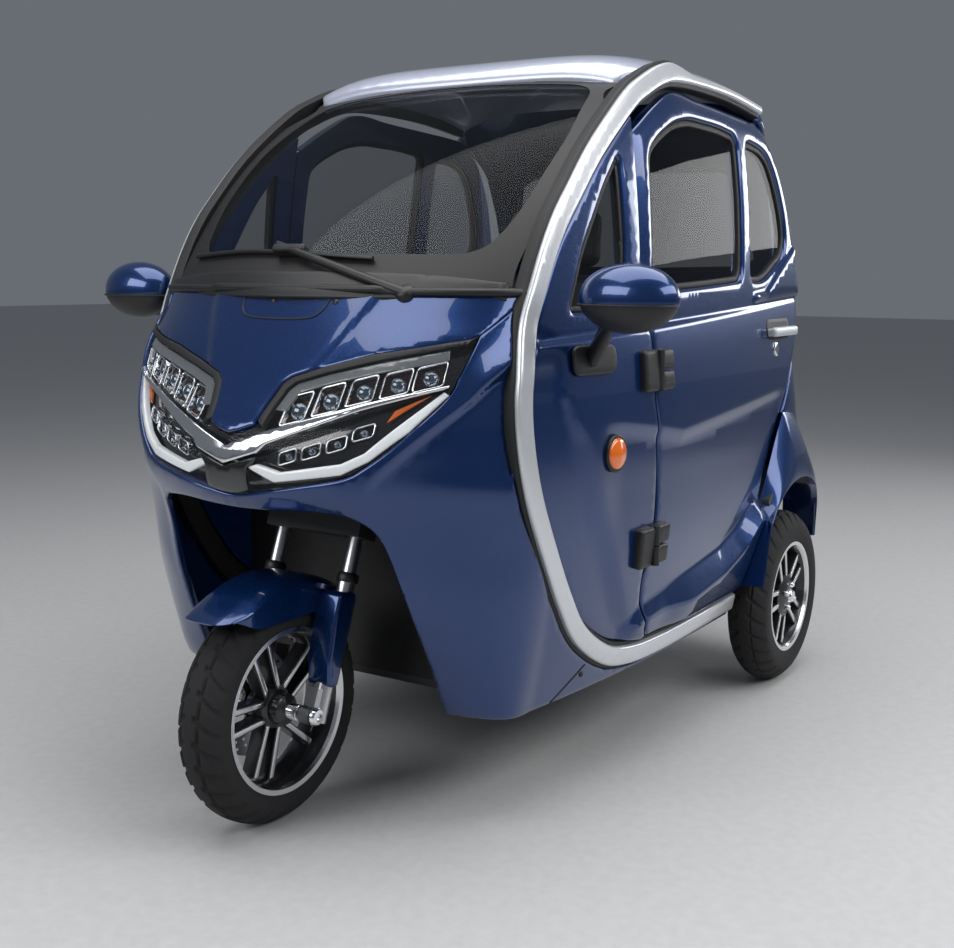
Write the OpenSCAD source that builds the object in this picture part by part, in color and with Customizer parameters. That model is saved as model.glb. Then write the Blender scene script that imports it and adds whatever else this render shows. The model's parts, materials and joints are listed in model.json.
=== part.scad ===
// Enclosed electric three-wheel microcar: one steered front wheel, two rear wheels, two hinged doors.
// X runs forward, Y to the car's left, Z up from the ground. Millimetres.

/* [Overall] */
// Length over the front tyre and the rear bumper
length = 1864; // [1700:1:2100]
// Height of the roof crown above the ground
height = 1520; // [1400:1:1700]

/* [Stance] */
// Front axle ahead of the middle
front_axle_x = 710; // [650:1:780]
// Rear axle behind the middle
rear_axle_x = -694; // [-760:1:-640]
// Distance between the rear tyre middles
track = 972; // [900:1:1040]
// Rake of the steering axis from upright
rake = 21; // [15:1:30]
// Distance of the steering axis behind the axle
fork_offset = 30; // [10:1:50]

/* [Front wheel] */
// Front tyre outer radius
front_tyre_r = 222; // [200:1:240]
// Front rim seat radius
front_rim_r = 158; // [140:1:170]
// Front hub radius
front_hub_r = 30; // [22:1:40]
// Front hub length across the wheel
front_hub_w = 92; // [70:1:110]
// Front axle radius
front_axle_r = 8; // [6:0.5:12]

/* [Rear wheels] */
// Rear tyre outer radius
rear_tyre_r = 221; // [200:1:240]
// Rear rim seat radius
rear_rim_r = 140; // [120:1:160]
// Rear hub radius
rear_hub_r = 46; // [36:1:56]
// Rear hub length across the wheel
rear_hub_w = 84; // [60:1:100]
// Rear stub axle radius
stub_r = 14; // [10:0.5:20]

/* [Tyres and rims] */
// Tyre section width
tyre_w = 104; // [80:1:120]
// Rim well depth under the tyre seat
rim_t = 10; // [6:1:16]
// Spoke pairs in each wheel
spokes = 5; // [3:1:7]
// Width of one spoke
spoke_w = 22; // [14:1:30]
// Opening between the two spokes of a pair
spoke_gap = 16; // [10:1:24]
// Thickness of the spokes
spoke_t = 26; // [16:1:40]
// Running clearance between a shaft and its bore
run_gap = 0.05; // [0.02:0.01:0.1]

/* [Body side] */
// Half width of the lower body at its fullest
bulge_y = 514; // [480:1:540]
// Height of the fullest point
bulge_z = 680; // [600:1:760]
// Radius of the lower side in section
bulge_radius = 2057; // [1500:1:3000]
// Half width just above the shoulder crease
shoulder_y = 490; // [460:1:510]
// Height of the shoulder crease face
shoulder_h = 25; // [15:1:40]
// Height of the shoulder line at the front of the band
belt_z = 936; // [900:1:980]
// Rise of the shoulder line to the rear, per length
belt_rise = 0.05; // [0:0.01:0.1]
// Lean of the window part, per height
tumble_slope = 0.0211; // [0:0.001:0.08]
// Radius of the window part in section
tumble_radius = 2732; // [2000:1:4000]
// Place of the greatest width, along the car
plan_x = -130; // [-300:1:0]
// Draw-in of the side at the nose
plan_front_draw = 45; // [20:1:70]
// Draw-in of the side at the tail
plan_rear_draw = 12; // [0:1:40]
// Lower edge of the skirt
skirt_z = 215; // [180:1:260]
// Thickness of doors and side walls
wall_t = 30; // [20:1:40]
// Thickness of the outer panels at nose and tail
panel_t = 14; // [8:1:20]
// Shut gap round the doors
shut_gap = 6; // [5:0.5:9]

/* [Band] */
// Half width of the bright band
band_half_w = 20; // [14:1:28]
// Width of the seal on each side of the band
seal_w = 8; // [5:1:12]
// Height of the band above the skin
band_rise = 4; // [1:0.5:8]
// Depth of the seal top below the skin
seal_drop = 3; // [1:0.5:8]

/* [Glass] */
// Thickness of side and rear glass
glass_t = 5; // [4:0.5:8]
// Inset of the side glass below the skin
glass_inset = 12; // [6:1:18]
// Thickness of the windscreen
screen_t = 8; // [5:0.5:12]
// Bulge of the windscreen over its chord
screen_bulge = 48; // [20:1:80]

/* [Doors] */
// Hinge axis along the car
hinge_x = 100; // [60:1:140]
// Hinge axis outboard
hinge_y = 512; // [500:1:530]
// Height of the upper hinge
hinge_upper_z = 853; // [780:1:900]
// Height of the lower hinge
hinge_lower_z = 491; // [420:1:560]
// Radius of the hinge knuckles
knuckle_r = 9; // [7:0.5:12]
// Radius of the hinge pins
hinge_pin_r = 4; // [3:0.5:6]
// Height of one hinge
hinge_h = 84; // [40:1:90]
// Height of the hinge leaf above the skin
leaf_t = 6; // [3:0.5:9]
// Length of a hinge leaf
leaf_w = 62; // [24:1:70]

/* [Fork] */
// Distance of each fork leg from the wheel middle
fork_half_w = 92; // [80:1:110]
// Radius of the lower fork tubes
slider_r = 18; // [14:1:24]
// Radius of the upper fork tubes
stanchion_r = 14; // [10:1:18]
// Length of the lower fork tubes above the axle
slider_l = 255; // [200:1:290]
// Distance of the fork crown above the axle, along the steering axis
crown_l = 356; // [320:1:420]
// Thickness of the fork crown
crown_t = 40; // [28:1:56]
// Radius of the steering stem
stem_r = 18; // [14:1:24]
// Length of the steering stem above the crown
stem_l = 470; // [420:1:560]
// Length of the head tube
head_l = 150; // [110:1:200]
// Wall of the head tube
head_wall = 12; // [8:1:18]
// Half width of the handlebar
bar_half_w = 250; // [200:1:300]
// Radius of the handlebar tube
bar_r = 12; // [9:0.5:16]

/* [Mudguard] */
// Space between the front tyre and the mudguard
guard_gap = 34; // [20:1:50]
// Thickness of the mudguard
guard_t = 6; // [4:0.5:10]
// Half width of the mudguard
guard_half_w = 66; // [60:1:74]
// Height of the mudguard's lower edge above the axle
guard_rise = 182; // [160:1:210]

/* [Rear fenders] */
// Radius of the wheel arch opening
arch_r = 262; // [240:1:290]
// Height of the arch's middle above the wheel's
arch_rise = 52; // [30:1:64]
// Half width of the car over the fender lips
fender_y = 548; // [530:1:570]
// Thickness of the fender
fender_t = 12; // [8:1:18]

/* [Mirrors] */
// Mirror middle outboard
mirror_y = 605; // [580:1:660]
// Mirror middle along the car
mirror_x = 446; // [400:1:490]
// Mirror middle height
mirror_z = 1003; // [950:1:1060]
// Mirror width across
mirror_w = 170; // [140:1:200]
// Mirror height
mirror_d = 104; // [80:1:130]
// Radius of the mirror arm
mirror_arm_r = 10; // [7:0.5:14]

/* [Chassis] */
// Top of the floor pan
floor_z = 236; // [225:1:260]
// Thickness of the floor pan
floor_t = 16; // [10:1:24]
// Half width of the floor pan
floor_half_w = 425; // [400:1:440]
// Radius of the rear axle tube
axle_tube_r = 34; // [26:1:44]
// Radius of the motor
motor_r = 105; // [90:1:125]
// Length of the motor
motor_l = 230; // [180:1:280]
// Diameter of the tie-down holes in the floor
tie_d = 16; // [12:1:22]

/* [Cabin] */
// Width of the front seat
seat_w = 430; // [380:1:480]
// Height of the front cushion top
seat_z = 540; // [500:1:600]
// Height of the front seat back top
seat_top_z = 1060; // [980:1:1120]
// Width of the rear seat
bench_w = 640; // [560:1:700]

/* [Hidden] */
$fn = 64;
overrun = 40;
half_len = length / 2;
front_wheel = [front_axle_x, 0, front_tyre_r];
rear_wheel = [rear_axle_x, track / 2, rear_tyre_r];

function mix(a, b, t) = a + (b - a) * t;
function side_at(s) = [s[0] * half_len, s[1] * height];
function side_pts(list) = [for (s = list) side_at(s)];
function front_pts(list) = [for (s = list) [s[0] * bulge_y, s[1] * height]];
function flip(list) = [for (i = [len(list) - 1 : -1 : 0]) list[i]];
function mirrored(list) = concat(list, [for (p = flip(list)) [-p[0], p[1]]]);

// Left skin of the car: half width at a place along the car and a height.
function belt_at(x) = belt_z + belt_rise * (front_axle_x - belt_front_share * half_len - x);
belt_front_share = 0.2875;
plan_front_run = 0.676 * half_len;
plan_rear_run = 0.751 * half_len;
function plan_draw(x) = x > plan_x
    ? plan_front_draw * pow((x - plan_x) / plan_front_run, 2)
    : plan_rear_draw * pow((x - plan_x) / plan_rear_run, 2);
function low_y(z) = bulge_y - pow(z - bulge_z, 2) / (2 * bulge_radius);
function high_y(d) = shoulder_y - d * tumble_slope - d * d / (2 * tumble_radius);
function crease_y(x, z) = let (b = belt_at(x), k = (z - b + shoulder_h) / shoulder_h)
    mix(low_y(b - shoulder_h), shoulder_y, k);
function skin(x, z) = let (b = belt_at(x))
    (z < b - shoulder_h ? low_y(z) : z > b ? high_y(z - b) : crease_y(x, z)) - plan_draw(x);

// A closed shell from a grid of outer points and a grid of inner points.
module shell(outer, inner) {
    nu = len(outer) - 1;
    nv = len(outer[0]) - 1;
    w = nv + 1;
    n = (nu + 1) * w;
    pts = concat([for (r = outer) each r], [for (r = inner) each r]);
    quads = [for (i = [0 : nu - 1], j = [0 : nv - 1])
        [i * w + j, (i + 1) * w + j, (i + 1) * w + j + 1, i * w + j + 1]];
    low = [for (i = [0 : nu - 1]) [(i + 1) * w, i * w, n + i * w, n + (i + 1) * w]];
    top = [for (i = [0 : nu - 1])
        [i * w + nv, (i + 1) * w + nv, n + (i + 1) * w + nv, n + i * w + nv]];
    back = [for (j = [0 : nv - 1]) [j, j + 1, n + j + 1, n + j]];
    front = [for (j = [0 : nv - 1])
        [nu * w + j + 1, nu * w + j, n + nu * w + j, n + nu * w + j + 1]];
    walls = concat(low, top, back, front);
    faces = concat(
        [for (q = quads) each [[q[0], q[1], q[2]], [q[0], q[2], q[3]]]],
        [for (q = quads) each [[n + q[2], n + q[1], n + q[0]], [n + q[3], n + q[2], n + q[0]]]],
        [for (q = walls) each [[q[0], q[1], q[2]], [q[0], q[2], q[3]]]]);
    polyhedron(points = pts, faces = faces, convexity = 10);
}

// The side skin as a slab between two depths.
skin_rear_x = -0.97 * half_len;
skin_front_x = 0.64 * half_len;
skin_top_z = 0.985 * height;
skin_cols = 16;
low_rows = 8;
high_rows = 7;
function skin_z(x, j) = let (b = belt_at(x)) j <= low_rows
    ? mix(skirt_z, b - shoulder_h, j / low_rows)
    : mix(b, skin_top_z, (j - low_rows - 1) / high_rows);
function skin_grid(d) = [for (i = [0 : skin_cols])
    let (x = mix(skin_rear_x, skin_front_x, i / skin_cols))
    [for (j = [0 : low_rows + high_rows + 1]) let (z = skin_z(x, j)) [x, skin(x, z) - d, z]]];
module skin_slab(out_d, in_d) shell(skin_grid(out_d), skin_grid(in_d));

// Prisms from a side view outline, and from a front view outline.
module side_cut(outline, y_in, y_out)
    translate([0, y_out, 0])
    rotate([90, 0, 0])
    linear_extrude(height = y_out - y_in)
    polygon(outline);
module left_cut(outline) side_cut(outline, 0.4 * bulge_y, 1.3 * bulge_y);
module wide_cut(outline) side_cut(outline, -1.3 * bulge_y, 1.3 * bulge_y);
module front_cut(outline, x_back, x_front)
    translate([x_back, 0, 0])
    rotate([90, 0, 90])
    linear_extrude(height = x_front - x_back)
    polygon(outline);
module both() {
    children();
    mirror([0, 1, 0]) children();
}
// A turned piece about the car's cross axis, at a place.
module turned(place, outline, fn = 96)
    translate(place)
    rotate([-90, 0, 0])
    rotate_extrude($fn = fn)
    polygon(outline);
// A bar of round section across the car.
module cross_bar(place, r, l)
    translate(place - [0, l / 2, 0])
    rotate([-90, 0, 0])
    cylinder(r = r, h = l);

// Middle line of the bright band in the side view, from the tail along the roof to the sill.
band_shares = [
    [-0.6200, 0.9388], [-0.4292, 0.9500], [-0.2403, 0.9526], [-0.1073, 0.9500], [-0.0322, 0.9421],
    [0.0536, 0.9224], [0.1363, 0.8967], [0.2779, 0.8329], [0.3745, 0.7757], [0.4785, 0.7066],
    [0.5333, 0.6566], [0.5687, 0.6020], [0.5912, 0.5428], [0.5880, 0.4842], [0.5622, 0.4230],
    [0.5097, 0.3553], [0.4421, 0.2875], [0.3627, 0.2303], [0.2403, 0.1855], [0.1288, 0.1697],
    [0.0000, 0.1658], [-0.2060, 0.1658], [-0.4721, 0.1671]];
band_mid = side_pts(band_shares);
roof_end_x = -0.62 * half_len;
function step(list, i) = let (a = list[max(i - 1, 0)], b = list[min(i + 1, len(list) - 1)], d = b - a)
    d / norm(d);
function beside(list, d) = [for (i = [0 : len(list) - 1])
    let (t = step(list, i)) list[i] + d * [-t[1], t[0]]];
function strip(list, d_a, d_b) = concat(beside(list, d_a), flip(beside(list, d_b)));
band_out = band_half_w + seal_w;
tail_close = [for (i = [len(band_mid) - 1, 0]) [roof_end_x - shut_gap, band_mid[i][1]]];
// Everything inside the band, with the band itself.
cabin_side = concat(beside(band_mid, band_out), tail_close);
// Everything inside the band, without it.
panel_side = concat(beside(band_mid, -band_out), tail_close);

// Door outline: front shut line from top to bottom, then back along the sill and up the tail.
shut_shares = [
    [0.1266, 0.8697], [0.1309, 0.7895], [0.1330, 0.6447], [0.1073, 0.6020], [0.1041, 0.5283],
    [0.0880, 0.4796], [0.0773, 0.4243], [0.0794, 0.3691], [0.0944, 0.3217], [0.1159, 0.2836],
    [0.1116, 0.2474], [0.0891, 0.2059], [0.0708, 0.1908]];
door_rest_shares = [
    [-0.4678, 0.1908], [-0.4850, 0.2171], [-0.5129, 0.2803], [-0.5805, 0.3572], [-0.6352, 0.4197],
    [-0.7049, 0.4822], [-0.7994, 0.5697], [-0.8283, 0.6053], [-0.8412, 0.6579], [-0.8305, 0.7434],
    [-0.7918, 0.8158], [-0.7446, 0.8632], [-0.6867, 0.8921], [-0.5858, 0.9105], [-0.4292, 0.9224],
    [-0.2393, 0.9263], [-0.1524, 0.9237], [-0.0644, 0.9118], [0.0236, 0.8908], [0.0858, 0.8737]];
shut_line = side_pts(shut_shares);
door_rest = side_pts(door_rest_shares);
door_line = concat(shut_line, door_rest);
door_window_shares = [
    [0.0708, 0.8487], [0.0215, 0.8697], [-0.0644, 0.8934], [-0.1524, 0.9039], [-0.3219, 0.9026],
    [-0.4410, 0.8961], [-0.4378, 0.7895], [-0.4249, 0.6776], [-0.2146, 0.6711], [0.0858, 0.6632],
    [0.0815, 0.7566]];
door_window = side_pts(door_window_shares);
quarter_window_shares = [
    [-0.4957, 0.8934], [-0.6009, 0.8868], [-0.6545, 0.8763], [-0.7039, 0.8421], [-0.7511, 0.7809],
    [-0.7597, 0.7434], [-0.7403, 0.7171], [-0.6009, 0.6816], [-0.5579, 0.6763], [-0.4828, 0.6750]];
quarter_window = side_pts(quarter_window_shares);
corner_window_shares = [
    [0.1996, 0.8421], [0.2747, 0.7934], [0.3648, 0.7145], [0.4099, 0.6513], [0.4056, 0.6408],
    [0.2103, 0.6408], [0.1974, 0.7237]];
corner_window = side_pts(corner_window_shares);
tail_edge = [for (i = [0 : 7]) door_rest[i]];

// Nose: plan sections, each a rounded corner from the side skin to the middle line.
nose_x = 0.483 * half_len;
nose_shares = [
    [0.1414, 0.6009, 4.0],
    [0.1553, 0.6137, 4.0],
    [0.1974, 0.6502, 3.4],
    [0.2322, 0.6835, 3.0],
    [0.3000, 0.7457, 2.5],
    [0.3586, 0.8004, 2.1],
    [0.4066, 0.8455, 2.0],
    [0.4368, 0.8777, 2.0],
    [0.4658, 0.8830, 2.0],
    [0.4993, 0.8691, 2.1],
    [0.5461, 0.8155, 2.4],
    [0.6059, 0.7468, 2.7],
    [0.6382, 0.7103, 2.5],
    [0.6711, 0.6727, 2.3]
];
NOSE_Z = 0;
NOSE_X = 1;
NOSE_N = 2;
nose_cols = 10;
skirt_cols = 7;
skirt_rear_x = -0.5 * half_len;
function corner(t, n) = [pow(max(cos(t), 0), 2 / n), pow(max(sin(t), 0), 2 / n)];
function nose_point(row, k, d) = let (z = row[NOSE_Z] * height, y = skin(nose_x, z) - d,
    x = row[NOSE_X] * half_len - d, c = corner(90 - 90 * k / nose_cols, row[NOSE_N]))
    [nose_x + (x - nose_x) * c[0], y * c[1], z];
function skirt_point(row, k, d) = let (z = row[NOSE_Z] * height,
    x = mix(skirt_rear_x, nose_x, k / skirt_cols)) [x, skin(x, z) - d, z];
function nose_left(row, d) = concat([for (k = [0 : skirt_cols - 1]) skirt_point(row, k, d)],
    [for (k = [0 : nose_cols]) nose_point(row, k, d)]);
function nose_row(row, d) = let (half = nose_left(row, d), m = len(half) - 1)
    concat(half, [for (i = [m - 1 : -1 : 0]) [half[i][0], -half[i][1], half[i][2]]]);
function turn_grid(rows) = [for (i = [0 : len(rows[0]) - 1]) [for (r = rows) r[i]]];
function nose_grid(d) = turn_grid([for (r = nose_shares) nose_row(r, d)]);
module nose_shell(out_d, in_d) shell(nose_grid(out_d), nose_grid(in_d));

// Tail: plan sections, as at the nose.
tail_x = -0.62 * half_len;
tail_shares = [
    [0.2632, -0.9710, 8],
    [0.3158, -0.9710, 8],
    [0.3750, -0.9549, 7],
    [0.4539, -0.9356, 5.5],
    [0.5132, -0.9356, 4.4],
    [0.5658, -0.9356, 3.8],
    [0.6447, -0.9335, 3.6],
    [0.7237, -0.9120, 3.4],
    [0.8026, -0.8745, 3.2],
    [0.8684, -0.8208, 3.0],
    [0.9211, -0.7564, 2.8],
    [0.9539, -0.6974, 2.6],
    [0.9803, -0.6395, 2.4]
];
tail_cols = 9;
function tail_point(row, k, d) = let (z = row[NOSE_Z] * height, y = skin(tail_x, z) - d,
    x = row[NOSE_X] * half_len + d, c = corner(90 - 90 * k / tail_cols, row[NOSE_N]))
    [tail_x + (x - tail_x) * c[0], -y * c[1], z];
function tail_row(row, d) = let (half = [for (k = [0 : tail_cols]) tail_point(row, k, d)])
    concat(half, [for (i = [tail_cols - 1 : -1 : 0]) [half[i][0], -half[i][1], half[i][2]]]);
function tail_grid(d) = turn_grid([for (r = tail_shares) tail_row(r, d)]);
module tail_shell(out_d, in_d) shell(tail_grid(out_d), tail_grid(in_d));

// Windscreen: a sheet from its foot on the nose to its head under the roof.
screen_foot_shares = [0.6781, 0.6664];
screen_head_shares = [0.0322, 0.9618];
screen_foot_sweep = 0.137 * half_len;
screen_head_sweep = 0.02 * half_len;
screen_head_drop = 0.022 * height;
screen_half_w = 0.862 * bulge_y;
screen_cols = 20;
screen_rows = 10;
screen_reach_share = 1.06;
screen_lean = atan2(side_at(screen_head_shares)[1] - side_at(screen_foot_shares)[1],
    side_at(screen_foot_shares)[0] - side_at(screen_head_shares)[0]);
function screen_point(t, s, d) = let (a = side_at(screen_foot_shares), b = side_at(screen_head_shares),
    q = screen_bulge * 4 * s * (1 - s) - d)
    [mix(a[0] - screen_foot_sweep * t * t, b[0] + screen_head_sweep * t * t, s) + q * sin(screen_lean),
     -screen_half_w * t, mix(a[1], b[1] - screen_head_drop * t * t, s) + q * cos(screen_lean)];
function screen_grid(d) = [for (i = [0 : screen_cols]) [for (j = [0 : screen_rows])
    screen_point(2 * i / screen_cols - 1, screen_reach_share * j / screen_rows, d)]];

// Roof: a crowned sheet from the visor lip to the tail.
roof_line_shares = [
    [0.0773, 0.9553], [0.0622, 0.9697], [0.0322, 0.9816], [-0.0161, 0.9908], [-0.0751, 0.9961],
    [-0.1609, 0.9993], [-0.2682, 1.0000], [-0.4077, 0.9974], [-0.5365, 0.9901], [-0.6266, 0.9809]];
roof_line = side_pts(roof_line_shares);
roof_drop = 0.036 * height;
roof_cols = 18;
function roof_grid(d) = [for (i = [0 : roof_cols]) let (t = 2 * i / roof_cols - 1)
    [for (p = roof_line) [p[0], -0.87 * bulge_y * t, p[1] - roof_drop * pow(abs(t), roof_power) - d]]];
roof_power = 5;

// Wheels.
function tyre_outline(r, seat) = let (h = r - seat, half = [
    [seat, 0.36 * tyre_w], [seat + 0.22 * h, 0.47 * tyre_w], [seat + 0.5 * h, 0.5 * tyre_w],
    [seat + 0.84 * h, 0.46 * tyre_w], [r, 0.3 * tyre_w]])
    concat(half, [for (p = flip(half)) [p[0], -p[1]]]);
module tyre(place, r, seat) color("#15161a") turned(place, tyre_outline(r, seat));
function polar(r, a) = r * [cos(a), sin(a)];
// Spoke plate: a slot inside each spoke pair, an open pocket between the pairs.
module spoke_plate(r_out, r_in, hub_r) {
    w = spoke_w + spoke_gap / 2;
    turn = 360 / spokes;
    a_in = asin(w / r_in);
    linear_extrude(height = spoke_t) difference() {
        circle(r = r_out, $fn = 96);
        for (k = [0 : spokes - 1]) rotate(k * turn) {
            polygon([[1.2 * hub_r, -0.3 * spoke_gap], [r_in, -spoke_gap / 2], [r_in, spoke_gap / 2],
                [1.2 * hub_r, 0.3 * spoke_gap]]);
            polygon(concat([polar(max(w / sin(turn / 2), 1.15 * hub_r), turn / 2)],
                [for (i = [0 : 6]) polar(r_in, mix(a_in, turn - a_in, i / 6))]));
        }
    }
}
module rim(place, seat, hub_r, hub_w, bore_r, face_y, side) {
    half = 0.36 * tyre_w;
    translate(place) mirror([0, side < 0 ? 1 : 0, 0]) difference() {
        union() {
            turned([0, 0, 0], [[seat - rim_t, -half], [seat, -half], [seat, half], [seat - rim_t, half]]);
            cross_bar([0, 0, 0], hub_r, hub_w);
            translate([0, face_y - spoke_t, 0]) rotate([-90, 0, 0])
                spoke_plate(seat - rim_t / 2, seat - 1.2 * rim_t, hub_r);
        }
        cross_bar([0, 0, 0], bore_r, hub_w + overrun);
    }
}
module front_tyre() tyre(front_wheel, front_tyre_r, front_rim_r);
module front_rim() color("#c9ccd1")
    rim(front_wheel, front_rim_r, front_hub_r, front_hub_w, front_axle_r + run_gap, spoke_t / 2, 1);
module rear_tyre(side) tyre([rear_wheel[0], side * rear_wheel[1], rear_wheel[2]], rear_tyre_r, rear_rim_r);
module rear_rim(side) color("#c9ccd1")
    rim([rear_wheel[0], side * rear_wheel[1], rear_wheel[2]], rear_rim_r, rear_hub_r, rear_hub_w,
        stub_r + run_gap, 0.33 * tyre_w, side);
module rear_tyre_left() rear_tyre(1);
module rear_tyre_right() rear_tyre(-1);
module rear_rim_left() rear_rim(1);
module rear_rim_right() rear_rim(-1);
disc_r = 0.66 * front_rim_r;
disc_t = 0.05 * front_hub_w;
module brake_disc() color("#9a9da2") difference() {
    cross_bar(front_wheel - [0, front_hub_w / 2 + disc_t / 2, 0], disc_r, disc_t);
    cross_bar(front_wheel - [0, front_hub_w / 2 + disc_t / 2, 0], 0.7 * front_hub_r, 4 * disc_t);
}

// Steering: everything here stands on the raked axis.
steer_foot = front_wheel - [fork_offset, 0, 0];
module on_axis(l) translate(steer_foot) rotate([0, -rake, 0]) translate([0, 0, l]) children();
module at_leg(s) translate(steer_foot + [0, s * fork_half_w, 0]) rotate([0, -rake, 0]) children();
module legs(r, from, to) for (s = [-1, 1])
    at_leg(s)
    translate([0, 0, from])
    cylinder(r = r, h = to - from);
crown_top = crown_l + crown_t / 2;
axle_l = 2 * fork_half_w + 1.5 * slider_r;
module front_axle() color("#8e9095") cross_bar(front_wheel, front_axle_r, axle_l);
module axle_lugs() for (s = [-1, 1]) {
    at_leg(s)
        translate([0, -0.6 * slider_r, -0.7 * slider_r])
        cube([fork_offset, 1.2 * slider_r, 3 * slider_r]);
    cross_bar(front_wheel + [0, s * fork_half_w, 0], 0.94 * slider_r, 1.5 * slider_r);
}
module fork_legs() color("#b9bcc1") difference() {
    union() {
        legs(slider_r, -1.2 * slider_r, slider_l);
        legs(stanchion_r, 0, crown_l + crown_t);
        axle_lugs();
    }
    cross_bar(front_wheel, front_axle_r, axle_l);
}
module fork_crown() color("#1b1c1f") difference() {
    union() {
        on_axis(crown_l - crown_t / 2)
            translate([-2 * stanchion_r, -fork_half_w - 1.7 * stanchion_r, 0])
            cube([4 * stanchion_r, 2 * fork_half_w + 3.4 * stanchion_r, crown_t]);
        on_axis(crown_l) cylinder(r = stem_r, h = crown_t / 2 + stem_l);
    }
    legs(stanchion_r, 0, crown_l + crown_t);
}
module handlebar() color("#1b1c1f") on_axis(crown_top + stem_l) {
    translate([-1.6 * bar_r, -3 * bar_r, 0]) cube([3.2 * bar_r, 6 * bar_r, 2.4 * bar_r]);
    cross_bar([0, 0, 1.2 * bar_r], bar_r, 2 * bar_half_w);
    for (s = [-1, 1]) cross_bar([0, s * 0.78 * bar_half_w, 1.2 * bar_r], 1.5 * bar_r, 0.44 * bar_half_w);
}
module arc_sheet(place, outline, from, sweep)
    translate(place)
    rotate([90, 0, 0])
    rotate([0, 0, from])
    rotate_extrude(angle = sweep, $fn = 120)
    polygon([for (p = outline) [p[0], -p[1]]]);
guard_in = front_tyre_r + guard_gap;
guard_out = guard_in + guard_t;
// Section of the mudguard: an arched top with a wall down each side.
function guard_section() = let (w = guard_half_w, r = guard_in, t = guard_t, low = guard_rise - t, half = [
    [low, w], [r - 0.18 * w, w], [r + 0.4 * t, 0.8 * w], [r + t, 0.45 * w],
    [r, 0.4 * w], [r - 0.6 * t, 0.74 * w], [r - 0.24 * w, w - t], [low, w - t]])
    concat([for (i = [0 : 3]) half[i]], [for (i = [3 : -1 : 0]) [half[i][0], -half[i][1]]],
        [for (i = [7 : -1 : 4]) [half[i][0], -half[i][1]]], [for (i = [4 : 7]) half[i]]);
// Side view of the mudguard: level lower edge, lifted at the nose.
guard_shares = [[-1.2, 1], [0.74, 1.02], [1.24, 1.2], [1.24, 1.7], [-1.2, 1.7]];
guard_line = [for (p = guard_shares) [front_axle_x + p[0] * guard_rise, front_tyre_r + p[1] * guard_rise]];
// Side view of the stays, ahead of each fork leg, in the leg's own frame.
stay_w = 0.6 * slider_r;
stay_shares = [[-0.66, 0.16], [0.9, 0.16], [1.7, 0.34], [2.5, 0.74], [2.5, 0.92], [-0.66, 0.92]];
module stays() for (s = [-1, 1]) at_leg(s)
    side_cut([for (p = stay_shares) [p[0] * slider_r, p[1] * slider_l]],
        min(s * (guard_half_w - fork_half_w - guard_t / 2), s * (slider_r + stay_w)),
        max(s * (guard_half_w - fork_half_w - guard_t / 2), s * (slider_r + stay_w)));
module mudguard() color("#1f4fa8") difference() {
    union() {
        intersection() {
            arc_sheet(front_wheel, guard_section(), 0, 180);
            wide_cut(guard_line);
        }
        stays();
    }
    legs(slider_r, -1.2 * slider_r, slider_l);
    axle_lugs();
}
disc_y = front_hub_w / 2 + disc_t;
module brake_caliper() color("#3a3c40") difference() {
    at_leg(-1)
        translate([-2.9 * slider_r, 0, 1.7 * slider_r])
        cube([2.24 * slider_r, fork_half_w - disc_y - 0.6 * disc_t, 4.4 * slider_r]);
    legs(slider_r, -1.2 * slider_r, slider_l);
}
module head_tube() color("#2a2b2e") difference() {
    on_axis(crown_top + shut_gap) cylinder(r = stem_r + head_wall, h = head_l);
    on_axis(crown_l) cylinder(r = stem_r + run_gap, h = 2 * head_l);
}

// Floor, bulkhead and running gear.
rail_y = 0.525 * bulge_y;
rail_w = 0.04 * length / 2;
rail_top = 0.303 * height;
floor_front_x = 0.472 * half_len;
module floor_pan() color("#26282b") difference() {
    union() {
        translate([skirt_rear_x, -bulge_y, floor_z - floor_t])
            cube([floor_front_x - skirt_rear_x, 2 * bulge_y, floor_t]);
        for (s = [-1, 1]) translate([0, s * rail_y - rail_w / 2, 0]) {
            translate([skirt_rear_x, 0, floor_z - floor_t])
                cube([rail_w, rail_w, rail_top - floor_z + floor_t]);
            translate([-half_len, 0, rail_top - rail_w])
                cube([half_len + skirt_rear_x + rail_w, rail_w, rail_w]);
        }
    }
    both() skin_slab(-3 * overrun, wall_t);
    tail_shell(-3 * overrun, panel_t);
    for (p = tie_shares, s = [-1, 1])
        translate([p[0] * half_len, s * p[1] * bulge_y, floor_z - floor_t])
        cylinder(r = tie_d / 2, h = floor_t);
}
// Places of the tie-down holes.
tie_shares = [[0.386, 0.7], [-0.43, 0.74]];
liner_mid_shares = [
    [0.4678, 0.1553], [0.4614, 0.2763], [0.4614, 0.3947], [0.5043, 0.4605], [0.6438, 0.4842],
    [0.7318, 0.4836]];
liner_mid = side_pts(liner_mid_shares);
liner_half_w = 0.58 * bulge_y;
module front_liner() color("#17181a") difference() {
    wide_trim(liner_mid, liner_half_w);
    on_axis(crown_l) cylinder(r = stem_r + head_wall, h = 3 * head_l);
    translate([0, -bulge_y, 0]) cube([half_len, 2 * bulge_y, floor_z]);
}
module wide_trim(line, half_w) side_cut(strip(line, -panel_t / 4, panel_t / 4), -half_w, half_w);
module rear_axle() color("#2c2e31") {
    cross_bar([rear_wheel[0], 0, rear_wheel[2]], axle_tube_r, 2 * 0.82 * rear_wheel[1]);
    cross_bar([rear_wheel[0], 0, rear_wheel[2]], stub_r, 2 * (rear_wheel[1] + 0.4 * rear_hub_w));
    cross_bar([rear_wheel[0], 0, rear_wheel[2]], motor_r, motor_l);
}
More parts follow.
